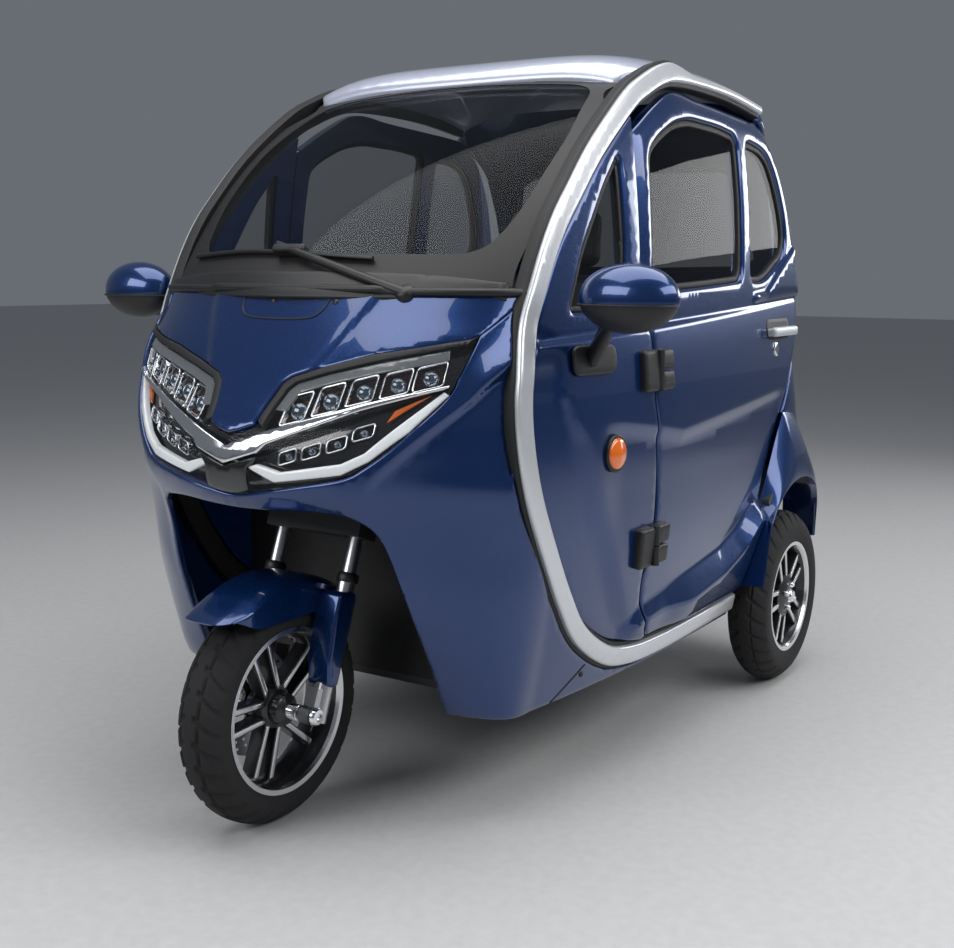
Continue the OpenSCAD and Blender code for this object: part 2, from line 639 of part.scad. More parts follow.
module springs() color("#3d4045") difference() {
    for (s = [-1, 1]) translate([rear_wheel[0], s * rail_y, rear_wheel[2]])
        cylinder(r = 0.62 * rail_w, h = rail_top - rail_w - rear_wheel[2]);
    cross_bar([rear_wheel[0], 0, rear_wheel[2]], axle_tube_r, 2 * rear_wheel[1]);
}
battery_z = 0.277 * height;
module battery_box() color("#2f3136")
    translate([-0.45 * half_len, -0.64 * bulge_y, floor_z])
    cube([0.39 * half_len, 1.28 * bulge_y, battery_z - floor_z]);

// Nose pieces, parted along front view outlines.
bonnet_half_shares = [
    [0.000, 0.5000], [0.045, 0.5033], [0.101, 0.5105], [0.117, 0.5316], [0.144, 0.5579],
    [0.175, 0.5658], [0.307, 0.5803], [0.463, 0.5947], [0.611, 0.6033], [0.755, 0.6132],
    [0.774, 0.6171], [0.837, 0.6395], [1.000, 0.6513], [1.000, 0.7237]];
bonnet_half = front_pts(bonnet_half_shares);
lamp_half_shares = [
    [0.000, 0.4243], [0.039, 0.4250], [0.136, 0.4309], [0.302, 0.4434], [0.447, 0.4546],
    [0.518, 0.4684], [0.578, 0.4855], [0.640, 0.5072], [0.728, 0.5461], [0.755, 0.5730],
    [0.770, 0.6000], [0.774, 0.6171], [0.755, 0.6132], [0.611, 0.6033], [0.463, 0.5947],
    [0.307, 0.5803], [0.175, 0.5658], [0.144, 0.5579], [0.117, 0.5316], [0.101, 0.5105],
    [0.045, 0.5033], [0.000, 0.5000]];
lamp_half = front_pts(lamp_half_shares);
mouth_half_shares = [
    [0.000, 0.0987], [0.584, 0.0987], [0.580, 0.1612], [0.572, 0.2243], [0.553, 0.2921],
    [0.525, 0.3559], [0.502, 0.3849], [0.463, 0.4000], [0.399, 0.4079], [0.276, 0.4105],
    [0.117, 0.4079], [0.000, 0.4066]];
mouth_half = front_pts(mouth_half_shares);
v_half_shares = [
    [0.000, 0.4658], [0.138, 0.4803], [0.171, 0.4914], [0.479, 0.5329], [0.728, 0.5592],
    [0.728, 0.5612], [0.477, 0.5382], [0.154, 0.5026], [0.000, 0.4849]];
v_half = front_pts(v_half_shares);
nose_far = 1.1 * half_len;
module nose_cut(half) front_cut(mirrored(half), nose_x, nose_far);
module screen_block() shell(screen_grid(-2 * overrun), screen_grid(screen_t));
module nose_panel() color("#1d49a0") difference() {
    nose_shell(0, panel_t);
    nose_cut(bonnet_half);
    nose_cut(lamp_half);
    nose_cut(mouth_half);
    wide_cut(cabin_side);
    screen_block();
}
module bonnet() color("#1f4fa8") difference() {
    intersection() {
        nose_shell(0, panel_t);
        nose_cut(bonnet_half);
    }
    wide_cut(cabin_side);
    screen_block();
}
module headlamps() color("#dfe6ec") intersection() {
    nose_shell(band_rise, 3 * panel_t);
    nose_cut(lamp_half);
}
module nose_bar() color("#d8dadd") intersection() {
    nose_shell(-band_rise, band_rise);
    nose_cut(v_half);
}
module windscreen() color("#9fb4c080") difference() {
    shell(screen_grid(0), screen_grid(screen_t));
    wide_cut(cabin_side);
    roof_block();
}
module roof_block() shell(roof_grid(-3 * overrun), roof_grid(panel_t));
module roof() color("#c8d2e6") difference() {
    shell(roof_grid(0), roof_grid(panel_t));
    wide_cut(cabin_side);
}
module band_part(d_a, d_b, out_d, in_d) intersection() {
    skin_slab(out_d, in_d);
    left_cut(strip(band_mid, d_a, d_b));
}
module seals() color("#141518") both() band_part(band_out, -band_out, seal_drop, wall_t);
module bands() color("#d9dde2") both() band_part(band_half_w, -band_half_w, -band_rise, seal_drop);

// Fixed front side panels, doors and their glass.
module door_space() left_cut_grown(shut_gap);
module left_cut_grown(d)
    translate([0, 1.3 * bulge_y, 0])
    rotate([90, 0, 0])
    linear_extrude(height = 0.9 * bulge_y)
    offset(delta = d) polygon(door_line);
module side_panels() color("#1d49a0") both() difference() {
    intersection() {
        skin_slab(0, wall_t);
        left_cut(panel_side);
        translate([0.05 * half_len, 0, 0]) cube([length, length, height]);
    }
    door_space();
    left_cut(corner_window);
    translate([-length, 0, 0]) cube([length + hinge_x, length, 1.05 * door_rest[0][1]]);
}
module glass_part(outline) intersection() {
    skin_slab(glass_inset, glass_inset + glass_t);
    left_cut(outline);
}
module corner_glass() color("#8fa3ad80") both() glass_part(corner_window);
module door_panel() difference() {
    intersection() {
        skin_slab(0, wall_t);
        left_cut(door_line);
    }
    left_cut(door_window);
    left_cut(quarter_window);
}
module door_panes() {
    glass_part(door_window);
    glass_part(quarter_window);
}
hinge_levels = [hinge_lower_z, hinge_upper_z];
function rect(x0, x1, z0, z1) = [[x0, z0], [x1, z0], [x1, z1], [x0, z1]];
module leaf(z, side, z0, z1) {
    x_near = hinge_x + side * 1.3 * knuckle_r;
    x_far = hinge_x + side * leaf_w;
    intersection() {
        skin_slab(-leaf_t, 0);
        left_cut(rect(min(x_near, x_far), max(x_near, x_far), z - hinge_h / 2, z + hinge_h / 2));
    }
    translate([hinge_x, hinge_y, z + z0]) cylinder(r = knuckle_r, h = z1 - z0);
    translate([min(hinge_x, hinge_x + side * 2 * knuckle_r), hinge_y - knuckle_r, z + z0])
        cube([2 * knuckle_r, knuckle_r, z1 - z0]);
}
module hinge_fixed(z) {
    leaf(z, 1, -hinge_h / 2, -run_gap);
    translate([hinge_x, hinge_y, z - hinge_h / 2]) cylinder(r = hinge_pin_r, h = hinge_h);
}
module hinge_moving(z) difference() {
    leaf(z, -1, run_gap, hinge_h / 2);
    translate([hinge_x, hinge_y, z - hinge_h]) cylinder(r = hinge_pin_r + run_gap, h = 2 * hinge_h);
}
module hinge_posts() color("#141518") both() for (z = hinge_levels) hinge_fixed(z);
handle_line_shares = [
    [-0.5880, 0.5868], [-0.6009, 0.5816], [-0.7790, 0.5842], [-0.7918, 0.5901], [-0.7918, 0.6000],
    [-0.7790, 0.6066], [-0.6009, 0.6079], [-0.5880, 0.6026]];
handle_line = side_pts(handle_line_shares);
module door_fittings() {
    for (z = hinge_levels) hinge_moving(z);
    intersection() {
        skin_slab(-2 * leaf_t, 0);
        left_cut(handle_line);
    }
}
module door_left() color("#1f4fa8") door_panel();
module door_right() color("#1f4fa8") mirror([0, 1, 0]) door_panel();
module door_glass_left() color("#8fa3ad80") door_panes();
module door_glass_right() color("#8fa3ad80") mirror([0, 1, 0]) door_panes();
module door_fittings_left() color("#23252a") door_fittings();
module door_fittings_right() color("#23252a") mirror([0, 1, 0]) door_fittings();

// Tail.
rear_window_shares = [
    [0.000, 0.6908], [0.642, 0.6947], [0.700, 0.7105], [0.685, 0.8092], [0.634, 0.8553],
    [0.545, 0.8697], [0.000, 0.8750]];
rear_window = mirrored(front_pts(rear_window_shares));
tail_lamp_line_shares = [
    [0.685, 0.4868], [0.833, 0.4947], [0.837, 0.5921], [0.696, 0.6026]];
tail_lamp_line = front_pts(tail_lamp_line_shares);
module tail_view(outline) front_cut(outline, -1.1 * half_len, tail_x);
module tail_panel() color("#1d49a0") difference() {
    tail_shell(0, panel_t);
    translate([roof_end_x, -bulge_y, 0]) cube([length, 2 * bulge_y, 2 * height]);
    both() door_space();
    tail_view(rear_window);
    both() tail_view(tail_lamp_line);
    both() side_cut(fender_line, fender_seat_share * bulge_y, 1.3 * bulge_y);
    wide_cut(strip(band_mid, band_out, -band_out));
    roof_block();
}
module rear_glass() color("#8fa3ad80") intersection() {
    tail_shell(glass_t, 2 * glass_t);
    tail_view(rear_window);
}
module tail_lamps() color("#8f1016") both() intersection() {
    tail_shell(-leaf_t, panel_t);
    tail_view(tail_lamp_line);
}
// Fender: edge on the body by angle round the arch's middle, as shares of the arch radius.
fender_shares = [
    [44, 1.12], [49, 1.155], [54, 1.19], [60, 1.25], [68, 1.38], [74, 1.5], [80.5, 1.65], [86, 1.64],
    [92, 1.61], [98, 1.55], [104, 1.48], [110, 1.41], [117, 1.34], [124, 1.27], [131, 1.22], [138, 1.15],
    [144, 1.09], [148, 1.05]];
fender_seat_share = 0.795;
FENDER_TURN = 0;
FENDER_EDGE = 1;
fender_rows = 6;
function tail_end_x(z) = half_len * lookup(z / height, [for (r = tail_shares) [r[NOSE_Z], r[NOSE_X]]]);
function tail_power(z) = lookup(z / height, [for (r = tail_shares) [r[NOSE_Z], r[NOSE_N]]]);
function tail_y(x, z) = let (n = tail_power(z),
    a = max(0, min(0.96, (x - tail_x) / (tail_end_x(z) - tail_x))))
    skin(max(x, tail_x), z) * pow(1 - pow(a, n), 1 / n);
arch_mid = rear_wheel + [0, 0, arch_rise];
function round_arch(r, a) = [arch_mid[0] + r * cos(a), arch_mid[2] + r * sin(a)];
function fender_point(row, k, d) = let (a = row[FENDER_TURN], edge = row[FENDER_EDGE] * arch_r,
    p = round_arch(mix(arch_r, edge, k), a), e = round_arch(edge, a))
    [p[0], mix(tail_y(e[0], e[1]), fender_y, pow(cos(90 * k), 0.9)) - d, p[1]];
function fender_grid(d) = [for (i = [len(fender_shares) - 1 : -1 : 0])
    [for (k = [0 : fender_rows]) fender_point(fender_shares[i], k / fender_rows, d)]];
fender_edge = [for (r = fender_shares) round_arch(r[FENDER_EDGE] * arch_r, r[FENDER_TURN])];
fender_line = concat(fender_edge, [[-half_len, 0], [fender_edge[0][0], 0]]);
tail_space = concat([for (p = tail_edge) p - [shut_gap, 0]], [[half_len, tail_edge[7][1]], [half_len, 0],
    [tail_edge[0][0] - shut_gap, 0]]);
module behind_bumper() translate([-2 * length - half_len, 0, 0]) cube([2 * length, length, length]);
module fenders() color("#1f4fa8") both() difference() {
    shell(fender_grid(0), fender_grid(fender_t));
    left_cut(tail_space);
    behind_bumper();
}
liner_in = -0.18 * rear_wheel[1];
liner_out = fender_y - rear_wheel[1];
liner_t = fender_t / 2;
liner_r = 1.06 * arch_r;
module fender_liners() color("#17181a") both() difference() {
    arc_sheet(arch_mid, [[axle_tube_r * 2, liner_in], [liner_r + liner_t, liner_in],
        [liner_r + liner_t, liner_out], [liner_r, liner_out],
        [liner_r, liner_in + liner_t], [axle_tube_r * 2, liner_in + liner_t]], liner_from, liner_sweep);
    shell(fender_grid(-3 * overrun), fender_grid(fender_t));
    left_cut(tail_space);
    behind_bumper();
}
liner_from = 48;
liner_sweep = 80;
bumper_z = tail_shares[0][NOSE_Z] * height;
module rear_bumper() color("#1b1c1f")
    translate([0, 0, 0.7 * bumper_z])
    linear_extrude(height = 0.3 * bumper_z)
    polygon(mirrored_plan([[-half_len, 0], [-half_len, 0.5 * bulge_y], [-0.97 * half_len, 0.68 * bulge_y],
        [-0.9 * half_len, 0.74 * bulge_y], [-0.88 * half_len, 0.74 * bulge_y], [-0.88 * half_len, 0]]));
function mirrored_plan(list) = concat(list, [for (p = flip(list)) [p[0], -p[1]]]);

// Outside fittings.
module wiper_strip(list, w) intersection() {
    shell(screen_grid(-2 * screen_t), screen_grid(0));
    front_cut(strip(front_pts(list), -w, w), 0, half_len);
}
blade_shares = [
    [0.294, 0.7000], [0.146, 0.7026], [-0.043, 0.7066], [-0.327, 0.7092], [-0.691, 0.7039]];
arm_shares = [
    [0.467, 0.6618], [0.181, 0.6862], [-0.117, 0.7105]];
module wiper() color("#101114") {
    wiper_strip(blade_shares, 0.5 * screen_t);
    wiper_strip(arm_shares, screen_t);
}
mirror_base = [0.3670, 0.5822];
mirror_at = [mirror_x, mirror_y, mirror_z];
mirror_foot = [0, -0.42 * mirror_w, -0.12 * mirror_d];
mirror_back = 0.17 * mirror_d;
function ring(c, r, n) = [for (i = [0 : n - 1]) c + r * [cos(360 * i / n), sin(360 * i / n)]];
module mirror_arms() color("#141518") both() {
    p = side_at(mirror_base);
    intersection() {
        skin_slab(-leaf_t, 0);
        left_cut(ring(p, 2.6 * mirror_arm_r, 20));
    }
    difference() {
        hull() {
            translate([p[0], skin(p[0], p[1]) + leaf_t / 2, p[1]]) sphere(r = mirror_arm_r, $fn = 24);
            translate(mirror_at + mirror_foot) sphere(r = mirror_arm_r, $fn = 24);
        }
        mirror_form();
        skin_slab(0, wall_t);
    }
}
module mirror_form() difference() {
    turned(mirror_at, [for (a = [-90 : 15 : 90]) [cos(a) * mirror_d / 2, sin(a) * mirror_w / 2]], 48);
    translate(mirror_at - [mirror_back + mirror_d, mirror_w, mirror_d])
        cube([mirror_d, 2 * mirror_w, 2 * mirror_d]);
}
mirror_glass_share = 0.86;
module mirror_glass() color("#b9c3cc") both() translate(mirror_at - [mirror_back + glass_t / 2, 0, 0])
    rotate([90, 0, 90])
    linear_extrude(height = glass_t / 2)
    polygon([for (a = [0 : 12 : 348]) mirror_glass_share * [cos(a) * mirror_w / 2, sin(a) * mirror_d / 2]]);
module mirror_shells() color("#1f4fa8") both() mirror_form();
amber_share = [0.2811, 0.4605];
amber_r = 0.065 * bulge_y;
module side_lamps() color("#e08a1e") both() intersection() {
    skin_slab(-leaf_t, 0);
    left_cut(ring(side_at(amber_share), amber_r, 24));
}

// Cabin.
module rounded_box(size, r) linear_extrude(height = size[2])
    polygon([for (q = [[1, 1], [-1, 1], [-1, -1], [1, -1]], a = [0 : 18 : 90])
        let (b = atan2(q[1], q[0]) - 45 + a)
        [q[0] * (size[0] / 2 - r) + r * cos(b), q[1] * (size[1] / 2 - r) + r * sin(b)]]);
dash_shares = [
    [0.4850, 0.5658], [0.6009, 0.5658], [0.6009, 0.6118], [0.5794, 0.6368], [0.5365, 0.6395],
    [0.4850, 0.6118]];
module dash() color("#1d1e21") difference() {
    side_cut(side_pts(dash_shares), -bulge_y, bulge_y);
    both() skin_slab(-2 * overrun, wall_t);
    nose_shell(-3 * overrun, 3 * panel_t);
    on_axis(crown_l) cylinder(r = stem_r + head_wall, h = 2 * stem_l);
}
seat_front_x = -0.03 * half_len;
seat_back_shares = [
    [-0.3541, 0.3289], [-0.2682, 0.3421], [-0.3541, 0.6908], [-0.3777, 0.6987], [-0.4292, 0.6908],
    [-0.4292, 0.3289]];
head_rest_shares = [
    [-0.3702, 0.6941], [-0.3541, 0.6974], [-0.3670, 0.7829], [-0.3820, 0.7921], [-0.4270, 0.7868],
    [-0.4270, 0.6908]];
bench_back_shares = [
    [-0.7511, 0.3092], [-0.7403, 0.3684], [-0.7940, 0.6316], [-0.8369, 0.6349], [-0.8476, 0.6184],
    [-0.8155, 0.3092]];
module front_seat() color("#1e1f22") {
    translate([seat_front_x - 0.19 * half_len, 0, battery_z])
        rounded_box([0.38 * half_len, seat_w, seat_z - battery_z], 0.12 * seat_w);
    side_cut(side_pts(seat_back_shares), -seat_w / 2, seat_w / 2);
    side_cut(side_pts(head_rest_shares), -0.3 * seat_w, 0.3 * seat_w);
}
module rear_seat() color("#1e1f22") {
    translate([-0.67 * half_len, 0, rail_top])
        rounded_box([0.3 * half_len, bench_w, 0.07 * height], 0.06 * bench_w);
    side_cut(side_pts(bench_back_shares), -bench_w / 2, bench_w / 2);
}

floor_pan();
front_liner();
head_tube();
nose_panel();
bonnet();
headlamps();
nose_bar();
windscreen();
roof();
seals();
bands();
side_panels();
corner_glass();
tail_panel();
rear_glass();
tail_lamps();
fenders();
fender_liners();
rear_bumper();
wiper();
mirror_arms();
mirror_shells();
mirror_glass();
side_lamps();
hinge_posts();
dash();
front_seat();
rear_seat();
battery_box();
rear_axle();
springs();
fork_legs();
fork_crown();
handlebar();
front_axle();
mudguard();
brake_caliper();
front_tyre();
front_rim();
brake_disc();
rear_tyre_left();
rear_rim_left();
rear_tyre_right();
rear_rim_right();
door_left();
door_glass_left();
door_fittings_left();
door_right();
door_glass_right();
door_fittings_right();
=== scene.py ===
"""Looks of the three-wheel microcar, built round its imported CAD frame. Lengths are millimetres."""
import json
import math

import bmesh
import bpy
import numpy as np
from mathutils import Matrix, Vector
from mathutils.geometry import delaunay_2d_cdt


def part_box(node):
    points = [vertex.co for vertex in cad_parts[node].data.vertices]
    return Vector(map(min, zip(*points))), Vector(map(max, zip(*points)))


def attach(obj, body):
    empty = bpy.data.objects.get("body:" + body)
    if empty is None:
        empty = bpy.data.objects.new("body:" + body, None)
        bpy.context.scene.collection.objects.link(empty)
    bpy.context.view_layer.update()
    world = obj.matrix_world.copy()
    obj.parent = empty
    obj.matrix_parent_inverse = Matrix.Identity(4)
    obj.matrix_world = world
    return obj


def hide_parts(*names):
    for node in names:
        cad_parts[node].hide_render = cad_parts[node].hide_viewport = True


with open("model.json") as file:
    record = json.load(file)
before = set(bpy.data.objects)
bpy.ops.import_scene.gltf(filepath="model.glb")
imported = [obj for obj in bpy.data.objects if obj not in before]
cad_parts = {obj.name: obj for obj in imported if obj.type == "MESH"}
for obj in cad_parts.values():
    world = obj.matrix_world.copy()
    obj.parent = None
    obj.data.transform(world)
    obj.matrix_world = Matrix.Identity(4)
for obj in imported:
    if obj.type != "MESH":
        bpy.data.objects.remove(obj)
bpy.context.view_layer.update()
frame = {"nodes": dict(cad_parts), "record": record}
nodes = frame["nodes"]

# Sizes of the body, as in the construction
HL, H, BY = 932.0, 1520.0, 514.0
FRONT = np.array([710.0, 0.0, 222.0])
REAR = np.array([-694.0, 486.0, 221.0])
WALL, PANEL, GAP = 30.0, 14.0, 6.0
NOSE_X = 0.483 * HL
TAIL_X = -0.62 * HL
BAND_HALF, SEAL_HALF = 20.0, 28.0
RAKE = math.radians(21)
FORK_FOOT = np.array([680.0, 92.0, 222.0])

# Outlines: nose and tail rows are (Z, X, roundness), side outlines are (X, Z), front outlines are (Y, Z)
NOSE = np.array([
    (215, 560, 4.0), (236, 572, 4.0), (300, 606, 3.4), (353, 637, 3.0), (456, 695, 2.5), (545, 746, 2.1),
    (618, 788, 2.0), (664, 818, 2.0), (708, 823, 2.0), (759, 810, 2.1), (830, 760, 2.4), (921, 696, 2.7),
    (970, 662, 2.5), (1020, 627, 2.3)], float)
TAIL = np.array([
    (400, -905, 8), (480, -905, 8), (570, -890, 7), (690, -872, 5.5), (780, -872, 4.4), (860, -872, 3.8),
    (980, -870, 3.6), (1100, -850, 3.4), (1220, -815, 3.2), (1320, -765, 3.0), (1400, -705, 2.8),
    (1450, -650, 2.6), (1490, -596, 2.4)], float)
BAND = [(-577.84, 1427), (-400, 1444), (-224, 1448), (-100, 1444), (-30, 1432), (50, 1402), (127, 1363),
        (259, 1266), (349, 1179), (446, 1074), (497, 998), (530, 915), (551, 825), (548, 736), (524, 643),
        (475, 540), (412, 437), (338, 350), (224, 282), (120, 258), (0, 252), (-192, 252), (-440, 254)]
SHUT = [(118, 1322), (122, 1200), (124, 980), (100, 915), (97, 803), (82, 729), (72, 645), (74, 561),
        (88, 489), (108, 431), (104, 376), (83, 313), (66, 290)]
DOOR_TAIL = [(-436, 290), (-452, 330), (-478, 426), (-541, 543), (-592, 638), (-657, 733), (-745, 866)]
DOOR_TOP = [(-745, 866), (-772, 920), (-784, 1000), (-774, 1130), (-738, 1240), (-694, 1312), (-650, 1360),
            (-590, 1400), (-520, 1410), (-400, 1416), (-223, 1424), (-142, 1431), (-100, 1430), (-57, 1418),
            (22, 1380), (80, 1347), (118, 1326)]
DOOR_WIN = [(66, 1290), (20, 1322), (-60, 1358), (-142, 1374), (-300, 1372), (-411, 1362), (-408, 1200),
            (-396, 1030), (-200, 1020), (80, 1008), (76, 1150)]
QUARTER_WIN = [(-462, 1358), (-560, 1348), (-610, 1332), (-656, 1280), (-700, 1187), (-708, 1130),
               (-690, 1090), (-560, 1036), (-520, 1028), (-450, 1026)]
CORNER_WIN = [(186, 1280), (256, 1206), (340, 1086), (382, 990), (378, 974), (196, 974), (184, 1100)]
ROOF = np.array([(72, 1452), (58, 1474), (30, 1492), (-15, 1506), (-70, 1514), (-150, 1519), (-250, 1520),
                 (-380, 1516), (-500, 1505), (-584, 1491)], float)
ROOF_HALF, ROOF_DROP = 0.87 * BY, 0.036 * H
LAMP_LOW = [(0, 645), (20, 646), (70, 655), (155, 674), (230, 691), (266, 712), (297, 738), (329, 771),
            (374, 830), (388, 871), (396, 912), (398, 938)]
BONNET_EDGE = [(0, 760), (23, 765), (52, 776), (60, 808), (74, 848), (90, 860), (158, 882), (238, 904),
               (314, 917), (388, 932), (398, 938)]
LENS_TOP = [(387, 921), (314, 905), (243, 890), (160, 869), (102, 851), (89, 838), (77, 806), (70, 772)]
CHROME_V = [(0, 706), (71, 729), (88, 745), (246, 808), (374, 848), (376, 854), (245, 819),
            (79, 766), (0, 738)]
LIGHT_PIPE = [(51, 704), (69, 709), (114, 697), (226, 717), (264, 737), (312, 786), (369, 843), (377, 837),
              (329, 774), (272, 722), (227, 697), (104, 677), (52, 700)]
MOUTH = [(299, 217), (298, 245), (294, 341), (284, 444), (270, 541), (258, 585), (238, 608), (205, 620),
         (142, 624), (60, 620), (0, 618)]
TAIL_LAMP = [(352, 740), (428, 752), (430, 900), (358, 916)]
REAR_WIN = [(0, 1050), (330, 1056), (360, 1080), (352, 1230), (326, 1300), (280, 1322), (0, 1330)]
BLADE = [(151, 1064), (75, 1068), (-22, 1074), (-168, 1078), (-355, 1070)]
ARM = [(244, 1001), (93, 1043), (-75, 1084)]
# Fenders, as (degrees round the arch from the front, reach as a share of the arch's radius)
FENDER = np.array([
    (5, 1.03), (20, 1.04), (32, 1.07), (44, 1.12), (54, 1.19), (60, 1.25), (68, 1.38), (74, 1.5),
    (80.5, 1.65), (86, 1.64), (92, 1.61), (98, 1.55), (104, 1.48), (110, 1.41), (117, 1.34), (124, 1.27),
    (131, 1.21), (138, 1.14), (146, 1.08), (156, 1.04), (166, 1.03)])
ARCH_R, ARCH_RISE, FENDER_Y = 262.0, 52.0, 548.0

# Folds of the side panels as (X, Z), the fall of the fixed panel to its band as (Z, X), and the nose's fold
# as (Y, Z)
FLARE_TOP = [(-470, 500), (-426, 481), (-364, 448), (-282, 421), (-170, 406), (-43, 390), (108, 360),
             (161, 333)]
FLARE_LOW = [(-470, 462), (-433, 443), (-369, 399), (-261, 364), (-115, 341), (54, 332), (137, 322),
             (170, 316)]
WAIST = [(-640, 770), (-574, 765), (-243, 738), (-26, 720), (110, 742), (275, 765), (377, 767)]
KICK = [(-800, 1140), (-777, 1131), (-641, 1061), (-548, 1010), (-460, 1003)]
OUTER_FOLD = [(274, 118), (345, 214), (480, 295), (666, 400), (827, 444)]
INNER_FOLD = [(274, 60), (345, 140), (446, 200), (546, 244), (653, 296), (729, 334), (771, 377), (827, 424)]
NOSE_FOLD = [(240, 655), (274, 692), (344, 766), (404, 832), (445, 895)]


# Curves
TINY, FAR = 1e-9, 1e4


def smooth_at(xs, ys, q):
    """Smooth curve through a table, read at q."""
    xs, ys, q = np.asarray(xs, float), np.asarray(ys, float), np.asarray(q, float)
    m = np.gradient(ys, xs)
    i = np.clip(np.searchsorted(xs, q) - 1, 0, len(xs) - 2)
    h = xs[i + 1] - xs[i]
    t = np.clip((q - xs[i]) / h, 0, 1)
    return ((2 * t**3 - 3 * t**2 + 1) * ys[i] + (t**3 - 2 * t**2 + t) * h * m[i]
            + (3 * t**2 - 2 * t**3) * ys[i + 1] + (t**3 - t**2) * h * m[i + 1])


def at(table, q):
    """A table of pairs read at q with straight lines between."""
    t = np.asarray(table, float)
    return np.interp(q, t[:, 0], t[:, 1])


def ease(t):
    """Smooth step from 0 to 1."""
    t = np.clip(t, 0, 1)
    return t * t * (3 - 2 * t)


def spline(pts, step=9.0):
    """Points along a smooth curve through pts."""
    p = np.asarray(pts, float)
    p = np.concatenate([p[:1], p, p[-1:]])
    out = []
    for a, b, c, d in zip(p, p[1:], p[2:], p[3:]):
        m = max(2, int(np.linalg.norm(c - b) / step))
        for t in np.arange(m) / m:
            out.append(0.5 * (2 * b + (c - a) * t + (2 * a - 5 * b + 4 * c - d) * t * t
                              + (3 * b - 3 * c + d - a) * t**3))
    return np.array(out + [p[-1]])


def line(pts, step=9.0, closed=True):
    """Points along straight sides."""
    p = np.asarray(pts, float)
    n = len(p)
    out = []
    for k in range(n if closed else n - 1):
        a, b = p[k], p[(k + 1) % n]
        m = max(1, int(np.linalg.norm(b - a) / step))
        out += [a + (b - a) * t for t in np.arange(m) / m]
    if not closed:
        out.append(p[-1])
    return np.array(out)


def rounded(pts, r, step=6.0):
    """A closed outline with its corners rounded."""
    p = np.asarray(pts, float)
    n = len(p)
    out = []
    for k in range(n):
        a, b, c = p[k - 1], p[k], p[(k + 1) % n]
        u, v = a - b, c - b
        d = min(r, 0.45 * np.linalg.norm(u), 0.45 * np.linalg.norm(v))
        s, e = b + u / np.linalg.norm(u) * d, b + v / np.linalg.norm(v) * d
        for t in np.linspace(0, 1, 7):
            out.append((1 - t) ** 2 * s + 2 * t * (1 - t) * b + t * t * e)
    return line(out, step)


def circle(c, r, n=32, squash=1.0):
    a = np.arange(n) * 2 * math.pi / n
    return np.stack([c[0] + r * np.cos(a), c[1] + squash * r * np.sin(a)], 1)


def box_line(x0, x1, z0, z1, r):
    return rounded([(x0, z0), (x1, z0), (x1, z1), (x0, z1)], r, 5)


def beside(pts, d, closed=False):
    """A curve moved sideways: positive is to the left of its run."""
    p = np.asarray(pts, float)
    if closed:
        t = np.roll(p, -1, 0) - np.roll(p, 1, 0)
    else:
        t = np.gradient(p, axis=0)
    t /= np.maximum(np.linalg.norm(t, axis=1, keepdims=True), TINY)
    return p + np.reshape(d, (-1, 1)) * np.stack([-t[:, 1], t[:, 0]], 1)


def strip(mid, a, b):
    return np.concatenate([beside(mid, a), beside(mid, b)[::-1]])


def signed_area(p):
    p = np.asarray(p)
    q = np.roll(p, -1, 0)
    return 0.5 * np.sum(p[:, 0] * q[:, 1] - q[:, 0] * p[:, 1])


def nearest(values, goal, skip):
    """Index of the value nearest to a goal, among those not skipped."""
    return np.argmin(np.abs(values - goal) + skip * FAR)


def inset(pts, d):
    """A closed outline moved inward by d."""
    return beside(pts, d if signed_area(pts) > 0 else -d, True)


# Surfaces
BELT_Z, BELT_RISE, BELT_FRONT = 936, 0.05, 442.05
WIDEST_X, NOSE_DRAW, TAIL_DRAW = -130, (45, 0.676 * HL), (12, 0.751 * HL)
BULGE_Z, BULGE_R = 680, 2057
UPPER_Y, UPPER_LEAN, UPPER_R = 490, 0.0211, 2732
SHOULDER, SOFT_SHOULDER = (22, 8), (90, -40)
SIDE_U, U_PER_DEGREE = 630, 7


def belt(x):
    return BELT_Z + BELT_RISE * (BELT_FRONT - x)


def plan_draw(x):
    """How far the sides draw in towards the nose and the tail."""
    t = np.asarray(x, float) - WIDEST_X
    return np.where(t > 0, NOSE_DRAW[0] * (t / NOSE_DRAW[1]) ** 2, TAIL_DRAW[0] * (t / TAIL_DRAW[1]) ** 2)


def skin(x, z, ledge=SHOULDER):
    """Half width of the body. The shoulder ledge lies between two heights below the belt."""
    x, z = np.asarray(x, float), np.asarray(z, float)
    b = belt(x)
    low = BY - (np.minimum(z, b - ledge[0]) - BULGE_Z) ** 2 / (2 * BULGE_R)
    d = np.maximum(z - b, 0)
    high = UPPER_Y - UPPER_LEAN * d - d * d / (2 * UPPER_R)
    k = ease((z - b + ledge[0]) / (ledge[0] - ledge[1]))
    return low * (1 - k) + high * k - plan_draw(x)


def soft_skin(x, z):
    """Half width with the shoulder smoothed away, for the band, the seal and the nose."""
    return skin(x, z, SOFT_SHOULDER)


def on_left(p):
    return np.stack([p[:, 0], skin(p[:, 0], p[:, 1]), p[:, 1]], 1)


def on_soft_left(p):
    return np.stack([p[:, 0], soft_skin(p[:, 0], p[:, 1]), p[:, 1]], 1)


def nose_row(z):
    """Reach, roundness and half width of the nose at a height."""
    return smooth_at(NOSE[:, 0], NOSE[:, 1], z), smooth_at(NOSE[:, 0], NOSE[:, 2], z), soft_skin(NOSE_X, z)


def tail_row(z):
    """Reach, roundness and half width of the tail at a height."""
    return at(TAIL[:, [0, 1]], z), at(TAIL[:, [0, 2]], z), skin(TAIL_X, z)


